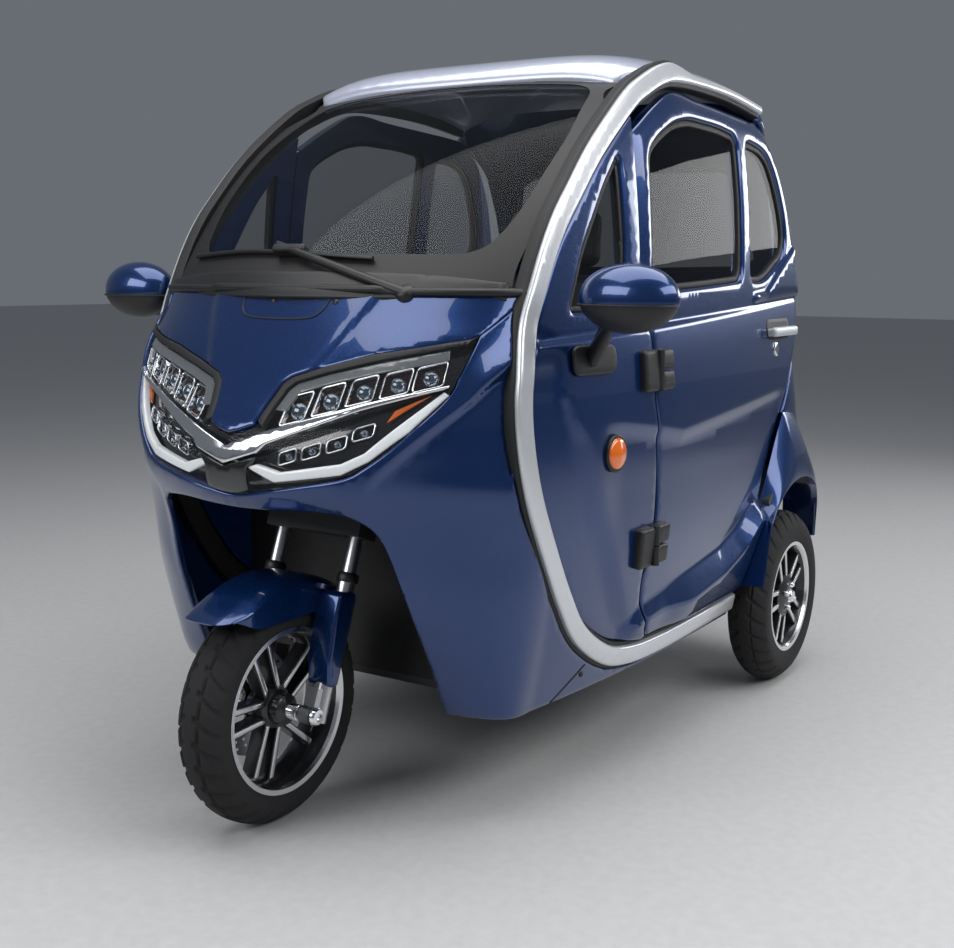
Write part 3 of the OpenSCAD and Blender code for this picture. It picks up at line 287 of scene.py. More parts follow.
def round_end(row, flank, root, way):
    """The surface of a rounded end of the body, and the ways onto it from the front and side views. Its first
    number runs round from the middle, is SIDE_U at root, and then runs along the flank. way is 1 for the nose
    and -1 for the tail."""
    def surface(p):
        u, z = np.abs(p[:, 0]), p[:, 1]
        reach, n, ys = row(z)
        a = np.radians(np.clip(u, 0, SIDE_U) / U_PER_DEGREE)
        x = root + (reach - root) * np.maximum(np.cos(a), TINY) ** (2 / n)
        y = ys * np.maximum(np.sin(a), 1e-12) ** (2 / n)
        along = root - way * (u - SIDE_U)
        x = np.where(u > SIDE_U, along, x)
        y = np.where(u > SIDE_U, flank(along, z), y)
        return np.stack([x, np.sign(p[:, 0]) * y, z], 1)

    def from_front(p):
        p = np.asarray(p, float)
        n, ys = row(p[:, 1])[1:]
        a = np.degrees(np.arcsin(np.clip((np.abs(p[:, 0]) / ys) ** (n / 2), 0, 1)))
        return np.stack([np.sign(p[:, 0]) * U_PER_DEGREE * a, p[:, 1]], 1)

    def from_side(p):
        p = np.asarray(p, float)
        reach, n = row(p[:, 1])[:2]
        k = np.clip((p[:, 0] - root) / (reach - root), 0, 1)
        a = np.degrees(np.arccos(np.clip(k ** (n / 2), 0, 1)))
        along = SIDE_U + way * root - way * p[:, 0]
        return np.stack([np.where(way * (p[:, 0] - root) > 0, U_PER_DEGREE * a, along), p[:, 1]], 1)

    return surface, from_front, from_side


on_nose, nose_front, nose_side = round_end(nose_row, soft_skin, NOSE_X, 1)
on_tail, tail_front, tail_side = round_end(tail_row, skin, TAIL_X, -1)
SCREEN_FOOT, SCREEN_HEAD = (632, 1013), (30, 1462)
SCREEN_H, SCREEN_HALF, SCREEN_BULGE = 751.0, 0.862 * BY, 48
FOOT_SWEEP, HEAD_SWEEP, HEAD_DROP = 0.137 * HL, 0.02 * HL, 0.022 * H
LEAN = math.atan2(SCREEN_HEAD[1] - SCREEN_FOOT[1], SCREEN_FOOT[0] - SCREEN_HEAD[0])


def on_screen(p):
    """Windscreen: across and up from its foot."""
    t, s = p[:, 0] / SCREEN_HALF, p[:, 1] / SCREEN_H
    q = SCREEN_BULGE * 4 * s * (1 - s)
    foot_x, head_x = SCREEN_FOOT[0] - FOOT_SWEEP * t * t, SCREEN_HEAD[0] + HEAD_SWEEP * t * t
    x = foot_x * (1 - s) + head_x * s + q * math.sin(LEAN)
    z = SCREEN_FOOT[1] * (1 - s) + (SCREEN_HEAD[1] - HEAD_DROP * t * t) * s + q * math.cos(LEAN)
    return np.stack([x, p[:, 0], z], 1)


def screen_front(pts):
    """Front view points to windscreen places."""
    up = np.linspace(-80, SCREEN_H, 400)
    out = []
    for y, z in np.asarray(pts, float):
        zs = on_screen(np.stack([np.full(len(up), y), up], 1))[:, 2]
        out.append((y, np.interp(z, zs, up)))
    return np.array(out)


def on_roof(p):
    t = np.abs(p[:, 1]) / ROOF_HALF
    z = smooth_at(ROOF[::-1, 0], ROOF[::-1, 1], p[:, 0]) - ROOF_DROP * t**5
    return np.stack([p[:, 0], p[:, 1], z], 1)


def tail_y(x, z):
    """Half width of the body at a place beside or behind the door."""
    reach, n = tail_row(z)[:2]
    a = np.clip((x - TAIL_X) / (reach - TAIL_X), 0, 0.96)
    return skin(np.maximum(x, TAIL_X), z) * (1 - a**n) ** (1 / n)


def on_disc(c, y):
    """A flat disc across a wheel."""
    def f(p):
        return np.stack([c[0] + p[:, 0], np.full(len(p), float(y)), c[2] + p[:, 1]], 1)

    return f


def raised(surf, p, lift, out):
    """Points a little above a surface."""
    e = 0.5
    p = np.asarray(p, float)
    n = out * np.cross(surf(p + [e, 0]) - surf(p - [e, 0]), surf(p + [0, e]) - surf(p - [0, e]))
    n /= np.maximum(np.linalg.norm(n, axis=1, keepdims=True), TINY)
    return surf(p) + n * np.reshape(lift, (-1, 1))


# Meshes
MM = 0.001
EDGE_STEPS = (0.0, 0.12, 0.4, 1.0)
OFF_GRID = (0.37, 0.23)
FOLD_ROOM, LEAST_ROOM = 6, 6
CHUNK = 2000


def inside(pts, loop):
    """Which points lie inside a closed outline."""
    x, y = pts[:, 0][:, None], pts[:, 1][:, None]
    a, b = loop, np.roll(loop, -1, 0)
    cross = (a[:, 1] > y) != (b[:, 1] > y)
    run = np.where(b[:, 1] == a[:, 1], TINY, b[:, 1] - a[:, 1])
    return (np.sum(cross & (x < (b[:, 0] - a[:, 0]) * (y - a[:, 1]) / run + a[:, 0]), 1) % 2) == 1


def within(pts, loops):
    """Which points lie inside the first outline and outside the others."""
    keep = inside(pts, loops[0])
    for hole in loops[1:]:
        keep &= ~inside(pts, hole)
    return keep


def edge_distance(pts, loops):
    """How far points lie from the nearest of some closed outlines."""
    best = np.full(len(pts), 1e9)
    for a in loops:
        ab = np.roll(a, -1, 0) - a
        l2 = np.maximum(np.sum(ab * ab, 1), TINY)
        for i in range(0, len(pts), CHUNK):
            q = pts[i:i + CHUNK, None]
            t = np.clip(np.einsum("ijk,jk->ij", q - a[None], ab) / l2, 0, 1)
            d = np.linalg.norm(q - (a[None] + t[..., None] * ab[None]), axis=2).min(1)
            best[i:i + CHUNK] = np.minimum(best[i:i + CHUNK], d)
    return best


def linked(name, me):
    """An object of a mesh, in the scene."""
    ob = bpy.data.objects.new(name, me)
    bpy.context.scene.collection.objects.link(ob)
    return ob


def new_mesh(name, verts, faces, sharp=38.0, orient=True):
    """A mesh with its faces turned outward and its sharp edges kept."""
    me = bpy.data.meshes.new(name)
    me.from_pydata([tuple(v) for v in np.asarray(verts) * MM], [], [tuple(int(i) for i in f) for f in faces])
    if orient:
        b = bmesh.new()
        b.from_mesh(me)
        bmesh.ops.recalc_face_normals(b, faces=b.faces)
        b.to_mesh(me)
        b.free()
    me.polygons.foreach_set("use_smooth", [True] * len(me.polygons))
    me.set_sharp_from_angle(angle=math.radians(sharp))
    me.update()
    return linked(name, me)


def grid_points(loop, grid, rows):
    """Staggered points across an outline's box, with room for the fold lines in rows, and those lines."""
    lo, hi = loop.min(0), loop.max(0)
    gx, gy = np.meshgrid(np.arange(lo[0], hi[0], grid), np.arange(lo[1], hi[1], grid))
    g = np.stack([gx.ravel() + OFF_GRID[0], gy.ravel() + OFF_GRID[1]], 1)
    g[:, 0] += (np.round((g[:, 1] - lo[1]) / grid) % 2) * grid * 0.5
    if len(rows):
        fold = np.concatenate(rows)
        near = np.array([np.min(np.sum((fold - q) ** 2, 1)) for q in g])
        g = np.concatenate([g[near > FOLD_ROOM**2], fold])
    return g


def panel(name, outline, surf, thick, holes=(), *, grid, edge, hole_edge=None, lift=0.0, out=1,
          relief=None, rows=()):
    """A sheet of a surface cut to an outline, with rounded edges. out is 1 where the surface faces outward.
    relief raises or sinks it point by point, and rows are extra lines of points along its folds."""
    loops = [np.asarray(lp, float) for lp in (outline, *holes)]
    loops = [lp if (signed_area(lp) < 0) == (k > 0) else lp[::-1] for k, lp in enumerate(loops)]
    radii = [edge] + [edge if hole_edge is None else hole_edge] * len(holes)
    verts, edges = [], []
    for lp, e in zip(loops, radii):
        for share in (EDGE_STEPS if e > 0 else EDGE_STEPS[:1]):
            k, n = len(verts), len(lp)
            verts += list(beside(lp, share * e, True))
            if share == 0:
                edges += [(k + i, k + (i + 1) % n) for i in range(n)]
    g = grid_points(loops[0], grid, rows)
    g = g[within(g, loops)]
    verts += list(g[edge_distance(g, loops) > max(max(radii) * 1.2, min(grid * 0.4, LEAST_ROOM))])
    co, _, tri, *_ = delaunay_2d_cdt([Vector(v) for v in verts], edges, [], 0, 0.02)
    p = np.array([tuple(v) for v in co])
    f = np.array([t for t in tri if len(t) == 3])
    f = f[within(p[f].mean(1), loops)]
    used = np.unique(f)
    back = np.full(len(p), -1)
    back[used] = np.arange(len(used))
    p, f = p[used], back[f]
    drop = np.zeros(len(p))
    for lp, e in zip(loops, radii):
        if e > 0:
            d = np.minimum(edge_distance(p, [lp]), e)
            drop = np.maximum(drop, e - np.sqrt(np.maximum(e**2 - (e - d) ** 2, 0)))
    top = raised(surf, p, lift - drop + (relief(p) if relief else 0), out)
    low = raised(surf, p, np.full(len(p), lift - thick), out)
    n = len(p)
    f = f if out > 0 else f[:, ::-1]
    sides = {(u, v) for a, b, c in f for u, v in ((a, b), (b, c), (c, a))}
    rim = [(u, v) for (u, v) in sides if (v, u) not in sides]
    faces = [tuple(t) for t in f] + [tuple(t[::-1] + n) for t in f] + [(v, u, u + n, v + n) for u, v in rim]
    return new_mesh(name, np.concatenate([top, low]), faces, 48, False)


def grid_faces(m, n, start=0, closed=False):
    """Quads between m rows of n points, whose rows may close into rings."""
    quads = []
    for i in range(m - 1):
        a, b = start + i * n, start + (i + 1) * n
        quads += [(a + j, a + (j + 1) % n, b + (j + 1) % n, b + j) for j in range(n if closed else n - 1)]
    return quads


def ring_faces(m, n, closed):
    """Quads between m rings of n points, with the last joined to the first, or with both ends capped."""
    last = (m - 1) * n
    if closed:
        return grid_faces(m, n, 0, True) + [(last + j, last + (j + 1) % n, (j + 1) % n, j) for j in range(n)]
    return grid_faces(m, n, 0, True) + [tuple(range(n)), tuple(range(last, last + n))]


def shell(name, outer, inner, sharp=38.0):
    """A closed sheet between two grids of points."""
    m, n, _ = outer.shape
    k = m * n
    faces = grid_faces(m, n) + [f[::-1] for f in grid_faces(m, n, k)]
    rim = ([(0, j) for j in range(n)] + [(i, n - 1) for i in range(1, m)]
           + [(m - 1, j) for j in range(n - 2, -1, -1)] + [(i, 0) for i in range(m - 2, 0, -1)])
    rim = [i * n + j for i, j in rim]
    faces += [(rim[i], rim[i - 1], rim[i - 1] + k, rim[i] + k) for i in range(len(rim))]
    return new_mesh(name, np.concatenate([outer.reshape(-1, 3), inner.reshape(-1, 3)]), faces, sharp)


def tube(name, path, r, sides):
    """A round bar along a path."""
    p = np.asarray(path, float)
    r = np.broadcast_to(np.asarray(r, float), (len(p),))
    t = np.gradient(p, axis=0)
    t /= np.linalg.norm(t, axis=1, keepdims=True)
    u = np.cross(t[0], (0, 0, 1) if abs(t[0][2]) < 0.9 else (1, 0, 0))
    a = np.arange(sides) * 2 * math.pi / sides
    verts = []
    for q, d, rad in zip(p, t, r):
        u = u - d * np.dot(u, d)
        u /= np.linalg.norm(u)
        v = np.cross(d, u)
        verts += [q + rad * (math.cos(b) * u + math.sin(b) * v) for b in a]
    return new_mesh(name, verts, ring_faces(len(p), sides, False))


def lathe(name, profile, place, axis, n, closed=False):
    """A profile (radius, along) turned round an axis through a place."""
    d = np.asarray(axis, float)
    d /= np.linalg.norm(d)
    u = np.cross(d, (1, 0, 0) if abs(d[0]) < 0.9 else (0, 0, 1))
    u /= np.linalg.norm(u)
    v = np.cross(d, u)
    ring = [math.cos(b) * u + math.sin(b) * v for b in np.arange(n) * 2 * math.pi / n]
    verts = np.array([np.asarray(place) + d * s + r * w for r, s in profile for w in ring])
    return new_mesh(name, verts, ring_faces(len(profile), n, closed))


def dome(r, h, base):
    """Profile of a rounded button."""
    return [(r, -base)] + [(r * math.cos(a), h * math.sin(a)) for a in np.radians((0, 18, 36, 54, 72, 85))]


def block(name, centre, size, r, turn=None, inner=4, crown=0.0, channels=(), depth=7.0, bow=0.0):
    """A block with rounded edges. crown swells its top, channels sew it along X, bow pulls its sides in."""
    half = np.asarray(size, float) / 2
    r = min(r, *(0.98 * half))
    round_off = r * np.tan(np.radians((45, 30, 15, 0)))
    axes = [np.concatenate([-(h - r) - round_off, np.linspace(-(h - r), h - r, inner + 1)[1:-1],
                            (h - r) + round_off[::-1]]) for h in half]
    index, verts, faces = {}, [], []

    def vertex(p):
        key = tuple(np.round(p, 4))
        if key not in index:
            index[key] = len(verts)
            verts.append(p)
        return index[key]

    for k in range(3):
        a, b = (k + 1) % 3, (k + 2) % 3
        for s in (-1, 1):
            for i in range(len(axes[a]) - 1):
                for j in range(len(axes[b]) - 1):
                    quad = []
                    for ia, ib in ((i, j), (i + 1, j), (i + 1, j + 1), (i, j + 1)):
                        p = np.zeros(3)
                        p[k], p[a], p[b] = s * half[k], axes[a][ia], axes[b][ib]
                        quad.append(vertex(p))
                    faces.append(quad)
    q = np.array(verts)
    core = np.clip(q, -(half - r), half - r)
    d = q - core
    q = core + d / np.maximum(np.linalg.norm(d, axis=1, keepdims=True), TINY) * r
    fx, fy = 1 - (q[:, 0] / half[0]) ** 2, 1 - (q[:, 1] / half[1]) ** 2
    if bow:
        q[:, 0] -= np.sign(q[:, 0]) * bow * fy * (np.abs(q[:, 0]) > 0.8 * half[0])
        q[:, 1] -= np.sign(q[:, 1]) * bow * fx * (np.abs(q[:, 1]) > 0.8 * half[1])
    top = ease(q[:, 2] / half[2])
    q[:, 2] += crown * np.clip(fx, 0, 1) * np.clip(fy, 0, 1) * top
    for c in channels:
        q[:, 2] -= depth * np.exp(-((q[:, 1] - c) / 7) ** 2) * top * np.clip(fx * 2, 0, 1)
    turn = np.eye(3) if turn is None else np.asarray(turn)
    return new_mesh(name, q @ turn.T + np.asarray(centre, float), faces)


def tilt(deg):
    """Turn about the Y axis."""
    return np.array(Matrix.Rotation(math.radians(deg), 3, "Y"))


def merged(name, obs, turns=(Matrix.Identity(4),)):
    """Several meshes joined into one piece, once for each of some turns."""
    b = bmesh.new()
    for o in obs:
        for turn in turns:
            me = o.data.copy()
            me.transform(turn)
            b.from_mesh(me)
            bpy.data.meshes.remove(me)
        bpy.data.objects.remove(o)
    me = bpy.data.meshes.new(name)
    b.to_mesh(me)
    b.free()
    return linked(name, me)


def spun(name, obs, centre, count):
    """Copies of meshes turned round a wheel's axle, joined into one piece."""
    there = Matrix.Translation(Vector(centre) * MM)
    steps = [Matrix.Rotation(2 * math.pi * k / count, 4, "Y") for k in range(count)]
    return merged(name, obs, [there @ step @ there.inverted() for step in steps])


def mirror_copy(ob, name):
    me = ob.data.copy()
    me.transform(Matrix.Scale(-1, 4, (0, 1, 0)))
    me.flip_normals()
    return linked(name, me)


# Materials
def material(name, color, rough, metal=0.0, coat=0.0, grain=600.0, vary=0.08, bump=0.0, alpha=1.0, emit=0.0):
    """A finish with fine variation in its colour and gloss, and a grain of its own size in its surface."""
    m = bpy.data.materials.new(name)
    m.use_nodes = True
    nt = m.node_tree
    shader = nt.nodes["Principled BSDF"]

    def node(kind, **values):
        made = nt.nodes.new("ShaderNode" + kind)
        for key, value in values.items():
            made.inputs[key.replace("_", " ")].default_value = value
        return made

    def join(source, out, target, into):
        nt.links.new(source.outputs[out], target.inputs[into])

    noise = node("TexNoise", Scale=grain, Detail=3)
    join(node("TexCoord"), "Object", noise, "Vector")
    ramp = node("ValToRGB")
    for stop, k, place in zip(ramp.color_ramp.elements, (1 - vary, 1 + vary), (0.3, 0.7)):
        stop.color = (*(min(1, c * k) for c in color), 1)
        stop.position = place
    join(noise, "Fac", ramp, "Fac")
    join(ramp, "Color", shader, "Base Color")
    gloss = node("MapRange", To_Min=max(0.01, rough * (1 - vary)), To_Max=min(1, rough * (1 + vary)))
    join(noise, "Fac", gloss, "Value")
    join(gloss, "Result", shader, "Roughness")
    if bump:
        relief = node("Bump", Strength=bump, Distance=0.0006)
        join(noise, "Fac", relief, "Height")
        join(relief, "Normal", shader, "Normal")
    values = {"Metallic": metal, "Coat Weight": coat, "Coat Roughness": 0.03, "Alpha": alpha}
    if alpha < 1:
        values["Specular IOR Level"] = 0.15
    if emit:
        values.update({"Emission Color": (*color, 1), "Emission Strength": emit})
    for key, value in values.items():
        shader.inputs[key].default_value = value
    return m


FINISHES = [
    # name, colour, roughness, metal, coat, grain, vary, and where it has them bump, alpha, glow
    ("body_blue", (0.002, 0.030, 0.140), 0.26, 0.62, 1.0, 900, 0.22),
    ("roof_paint", (0.46, 0.49, 0.60), 0.30, 0.35, 1.0, 900, 0.05),
    ("band_silver", (0.68, 0.70, 0.73), 0.32, 0.55, 0.5, 700, 0.06),
    ("black_seal", (0.006, 0.006, 0.007), 0.55, 0, 0, 800, 0.15, 0.15),
    ("black_plastic", (0.008, 0.008, 0.009), 0.42, 0, 0, 1100, 0.15, 0.3),
    ("chassis_black", (0.024, 0.024, 0.027), 0.45, 0.1, 0, 500, 0.18, 0.15),
    ("lamp_clear", (0.10, 0.11, 0.12), 0.03, 0, 1.0, 200, 0.03, 0, 0.05, 0),
    ("lamp_dark", (0.010, 0.011, 0.013), 0.12, 0.2, 1.0, 300, 0.1),
    ("lamp_grey", (0.16, 0.17, 0.18), 0.2, 0.2, 1.0, 300, 0.1),
    ("lamp_cup", (0.035, 0.016, 0.014), 0.10, 0.6, 1.0, 300, 0.1),
    ("lamp_white", (0.80, 0.83, 0.85), 0.18, 0, 1.0, 300, 0.03, 0, 1, 0.12),
    ("lamp_lens", (0.10, 0.13, 0.17), 0.05, 0.7, 1.0, 300, 0.08),
    ("chrome", (0.84, 0.85, 0.87), 0.09, 1.0, 0, 400, 0.05),
    ("mirror", (0.82, 0.84, 0.86), 0.03, 1.0, 0, 300, 0.02),
    ("amber", (0.72, 0.14, 0.006), 0.14, 0, 1.0, 300, 0.08, 0, 1, 0.03),
    ("lamp_red", (0.42, 0.008, 0.012), 0.12, 0, 1.0, 300, 0.08, 0, 1, 0.03),
    ("tyre", (0.009, 0.009, 0.010), 0.80, 0, 0, 260, 0.22, 0.35),
    ("rim_alloy", (0.70, 0.71, 0.73), 0.22, 1.0, 0.3, 500, 0.06, 0.04),
    ("rim_black", (0.014, 0.014, 0.016), 0.32, 0.2, 0.5, 500, 0.12),
    ("fork_alloy", (0.58, 0.59, 0.61), 0.30, 1.0, 0, 500, 0.07, 0.06),
    ("steel", (0.46, 0.47, 0.49), 0.34, 1.0, 0, 420, 0.1, 0.08),
    ("seat_cover", (0.024, 0.024, 0.027), 0.58, 0, 0, 420, 0.22, 0.6),
    ("battery_case", (0.06, 0.064, 0.07), 0.52, 0, 0, 700, 0.12, 0.25),
    ("handle_grey", (0.50, 0.52, 0.55), 0.35, 0.3, 0.3, 600, 0.06),
    ("glass", (0.016, 0.019, 0.021), 0.02, 0, 0.2, 3, 0.1, 0, 0.14, 0),
    ("glass_side", (0.008, 0.009, 0.010), 0.02, 0, 0.0, 3, 0.1, 0, 0.30, 0),
]
M = {f[0]: material(*f) for f in FINISHES}
SIDE_GLASS = ("corner_glass", "door_glass_left", "door_glass_right", "rear_glass")


def dress_nodes():
    """Finish and smooth shading of the CAD nodes that stay in view."""
    for s in frame["record"]["subparts"]:
        o = nodes[s["node"]]
        o.data.materials.clear()
        o.data.materials.append(M["glass_side" if s["node"] in SIDE_GLASS else s["material_slot"]])
        o.data.polygons.foreach_set("use_smooth", [True] * len(o.data.polygons))
        if "custom_normal" in o.data.attributes:
            o.data.attributes.remove(o.data.attributes["custom_normal"])
        weld = o.modifiers.new("weld", "WELD")
        weld.merge_threshold = 1e-5
        split = o.modifiers.new("split", "EDGE_SPLIT")
        split.split_angle = math.radians(34)
        split.use_edge_sharp = False


def put(ob, mat, body="body", replaces=()):
    """Give a piece its finish and the body that it rides on."""
    ob.data.materials.clear()
    ob.data.materials.append(M[mat])
    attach(ob, body)
    if replaces:
        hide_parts(*replaces)
    return ob


def pair(ob, mat, bodies=("body", "body"), left=(), right=()):
    """Finish a left piece, and make the right one. left and right name the nodes that they replace."""
    other = mirror_copy(ob, ob.name + "_r")
    put(ob, mat, bodies[0], left)
    put(other, mat, bodies[1], right)


dress_nodes()


# The side: bands, seals, doors, fixed panels and their glass
DOORS = ("left_door", "right_door")
BAND_T, BAND_LIFT, SEAL_T = 15, 11, 24
PANE_T, PANE_LIFT, RUBBER_T, RUBBER_LIFT = 5, -12, 14, -7
DOOR_RUBBER, CORNER_RUBBER = 13, 11
FLARE_FOOT, FLARE_FRONT, FLARE_MORE = 270, 16, 18
HOLLOW, SHOULDER_KICK, FRAME_LEAN, BAND_FALL = -8, 8, -9, -9
LEAF_T, PIN_R, PIN_AT, HINGE_Z = 20, 9, (100, 512), (491, 853)
SIDE_LAMP = (262, 700)
band_mid = spline(BAND, 9)
shut = spline(SHUT, 9)
door_line = np.concatenate([shut, line([SHUT[-1], DOOR_TAIL[0]], 12, False)[1:-1], spline(DOOR_TAIL, 9)[:-1],
                            spline(DOOR_TOP, 9)[:-1]])
door_windows = [rounded(DOOR_WIN, 34), rounded(QUARTER_WIN, 34)]
corner_window = rounded(CORNER_WIN, 30)


def fade(q, start, run):
    """Smooth step that leaves 0 at start and reaches 1 a run further on, which may run backwards."""
    return ease((q - start) / run)


def band_edges():
    """The band's two edges, as distances from its middle line. Both move out up the pillar, and the band
    narrows along the roof."""
    x, z = band_mid.T
    up = BAND_HALF * fade(z, 1000, 150)
    narrow = 1.1 * BAND_HALF * fade(x, -60, -150) * (z > 1300)
    return up - BAND_HALF, up + BAND_HALF - narrow


band_low, band_high = band_edges()
SEAL = SEAL_HALF - BAND_HALF
band_in, band_out = beside(band_mid, band_low - SEAL), beside(band_mid, band_high + SEAL)


def flare(p):
    """The lower door swells below a ledge that runs back to the wheel arch."""
    x, z = p.T
    top, low = at(FLARE_TOP, x), at(FLARE_LOW, x)
    below = np.clip((z - FLARE_FOOT) / np.maximum(low - FLARE_FOOT, 1), 0, 1)
    ledge = np.clip((top - z) / (top - low), 0, 1)
    return (FLARE_FRONT + FLARE_MORE * fade(x, 20, -140)) * ledge * (0.45 + 0.55 * below) * fade(x, 176, -60)


def waist(p):
    """A hollow under the waist fold."""
    x, z = p.T
    ends = fade(z, 440, 190) * fade(x, 330, -120) * fade(x, -700, 120)
    return HOLLOW * ease((at(WAIST, x) - z) / 34) * ends


def kick(p):
    """The shoulder rises behind the door window."""
    x, z = p.T
    return SHOULDER_KICK * ease((at(KICK, x) - z) / 12) * ease((z - belt(x) + 6) / 10) * fade(x, -455, -30)


def frame_chamfer(p):
    """The door's upper frame leans in along its edge."""
    return FRAME_LEAN * ease(1 - edge_distance(p, [door_line]) / 27) * fade(p[:, 1], 1010, 60)


def band_recess(p):
    """The fixed panel falls away to the band along two folds."""
    x, z = p.T
    outer, inner = at(OUTER_FOLD, z), at(INNER_FOLD, z)
    return BAND_FALL * ease(np.clip((x - inner) / np.maximum(outer - inner, 4), 0, 1)) * fade(z, 905, -60)


def fold(table, offsets):
    """Lines of points along a fold, at some heights above it."""
    mid = line(table, 9, False)
    return [mid + [0, o] for o in offsets]


def belt_rows():
    x = np.arange(-800, 520, 9.0)
    return [np.stack([x, belt(x) - o], 1) for o in (26, 21, 17.5, 14, 10.5, 7, 2)]


SIDE_ROWS = (belt_rows() + fold(FLARE_TOP, (5, 0, -8)) + fold(FLARE_LOW, (8, 0, -7))
             + fold(WAIST, (6, 0, -9, -20, -32)))


def side_sheet(name, outline, thick, holes=(), **more):
    """A panel of the left side."""
    return panel(name, outline, on_left, thick, holes, out=-1, **more)


def window(name, outline, rubber, bodies, left=(), right=()):
    """A window's rubber and its pane. name takes the word for each."""
    pair(side_sheet(name % "rubber", outline, RUBBER_T, [inset(outline, rubber)], grid=12, edge=3,
                    lift=RUBBER_LIFT), "black_seal", bodies)
    pair(side_sheet(name % "pane", outline, PANE_T, grid=40, edge=0, lift=PANE_LIFT), "glass_side", bodies,
         left, right)


def sides():
    band = panel("band", strip(band_mid, band_high, band_low), on_soft_left, BAND_T, grid=14, edge=6,
                 lift=BAND_LIFT, out=-1)
    pair(band, "band_silver", left=("bands",))
    seal = panel("seal", np.concatenate([band_out, band_in[::-1]]), on_soft_left, SEAL_T, grid=20, edge=3,
                 lift=-1, out=-1)
    pair(seal, "black_seal", left=("seals",))
    pair(side_sheet("door", door_line, WALL, door_windows, grid=17, edge=5, hole_edge=9,
                    relief=lambda p: flare(p) + waist(p) + kick(p) + frame_chamfer(p),
                    rows=SIDE_ROWS + fold(KICK, (4, 0, -6, -12))),
         "body_blue", DOORS, ("door_left",), ("door_right",))
    window("door_%s0", door_windows[0], DOOR_RUBBER, DOORS, ("door_glass_left",), ("door_glass_right",))
    window("door_%s1", door_windows[1], DOOR_RUBBER, DOORS)
    x, z = band_in.T
    top_i, low_i = nearest(x, 120, z < 900), nearest(x, 82, z > 600)
    fixed_line = np.concatenate([beside(shut, GAP)[:-1], band_in[top_i:low_i + 1][::-1]])
    folds = [line(np.asarray(t, float)[:, ::-1], 9, False) for t in (OUTER_FOLD, INNER_FOLD)]
    pair(side_sheet("side_panel", fixed_line, WALL, [corner_window], grid=17, edge=5, hole_edge=9,
                    relief=lambda p: flare(p) + waist(p) + band_recess(p), rows=SIDE_ROWS + folds),
         "body_blue", left=("side_panels",))
    window("corner_%s", corner_window, CORNER_RUBBER, ("body", "body"), ("corner_glass",))


def hinges():
    """Black hinge boxes: a whole leaf on the body, a split leaf on the door."""
    def leaf(x0, x1, z0, z1, r, lift):
        return side_sheet("leaf", box_line(x0, x1, z0, z1, r), LEAF_T, grid=12, edge=7, lift=lift)

    def pin(z, z0, z1):
        return lathe("pin", [(PIN_R, z0), (PIN_R, z1)], (*PIN_AT, z), (0, 0, 1), 24)

    body, doors = [], []
    for z in HINGE_Z:
        body += [leaf(104, 163, z - 42, z + 42, 12, 15), pin(z, -41, -1)]
        doors += [leaf(38, 94, z0, z1, 9, 14) for z0, z1 in ((z - 42, z - 2), (z + 2, z + 42))]
        doors.append(pin(z, 1, 41))
    pair(merged("hinge_fixed", body), "black_plastic", left=("hinge_posts",))
    pair(merged("hinge_moving", doors), "black_plastic", DOORS, ("door_fittings_left",),
         ("door_fittings_right",))


def handle():
    dish = side_sheet("handle_dish", box_line(-704, -536, 886, 938, 25), 5, grid=14, edge=2, lift=1.5)
    pair(dish, "black_plastic", DOORS)
    bar = side_sheet("bar", box_line(-702, -534, 894, 917, 11), 11, grid=10, edge=6, lift=26)
    feet = [side_sheet("foot", box_line(x - 12, x + 12, 896, 915, 8), 24, grid=10, edge=2, lift=18)
            for x in (-682, -554)]
    pair(merged("handle_bar", [bar] + feet), "handle_grey", DOORS)
    lock = side_sheet("handle_lock", circle((-597, 864), 12, 28, 1.5), 8, grid=8, edge=3.5, lift=4.5)
    pair(lock, "chrome", DOORS)


def side_lamps():
    bezel = side_sheet("side_lamp_bezel", circle(SIDE_LAMP, 37), 6, [circle(SIDE_LAMP, 29)], grid=10,
                       edge=2.5, lift=5)
    pair(bezel, "black_plastic")
    pair(side_sheet("side_lamp_lens", circle(SIDE_LAMP, 31), 10, grid=6, edge=4, lift=8,
                    relief=lambda p: 9 * np.clip(1 - np.linalg.norm(p - SIDE_LAMP, axis=1) / 30, 0, 1)),
         "amber", left=("side_lamps",))


# The nose: skirt, bonnet and lamps
NOSE_TOP, NOSE_FOOT = 1016, 217
CREASE, FOLD_RISE = -13, 7
EYE_AXIS = (0.9, 0.25, 0.1)
TOP_LAMPS = (120, 177, 234, 291, 343)
LOW_LAMPS = ((128, 726), (172, 738), (216, 752), (258, 774))
TURN_LAMP = [(292, 792), (316, 812), (352, 838), (330, 828), (300, 812)]
LAMP_MIDDLE = [(0, 652), (22, 653), (48, 660), (50, 700), (68, 722), (0, 702)]
FLAP = [(-105, 1008), (-96, 972), (-60, 958), (60, 958), (96, 972), (105, 1008)]


def both_halves(half):
    """A half outline made whole. An end that lies on the middle line isn't doubled."""
    half = np.asarray(half, float)
    first, last = (int(abs(half[k, 0]) < 1e-6) for k in (0, -1))
    other = (half * [-1, 1])[::-1]
    return np.concatenate([half, other[last:len(other) - first]])


lamp_low = nose_front(spline(LAMP_LOW, 8))
bonnet_edge = nose_front(line(BONNET_EDGE, 8, False))
front_i = nearest(band_out[:, 1], 984, band_out[:, 0] < 400)
nose_band = nose_side(band_out[front_i:])
hip = line([lamp_low[-1], nose_band[0]], 9, False)


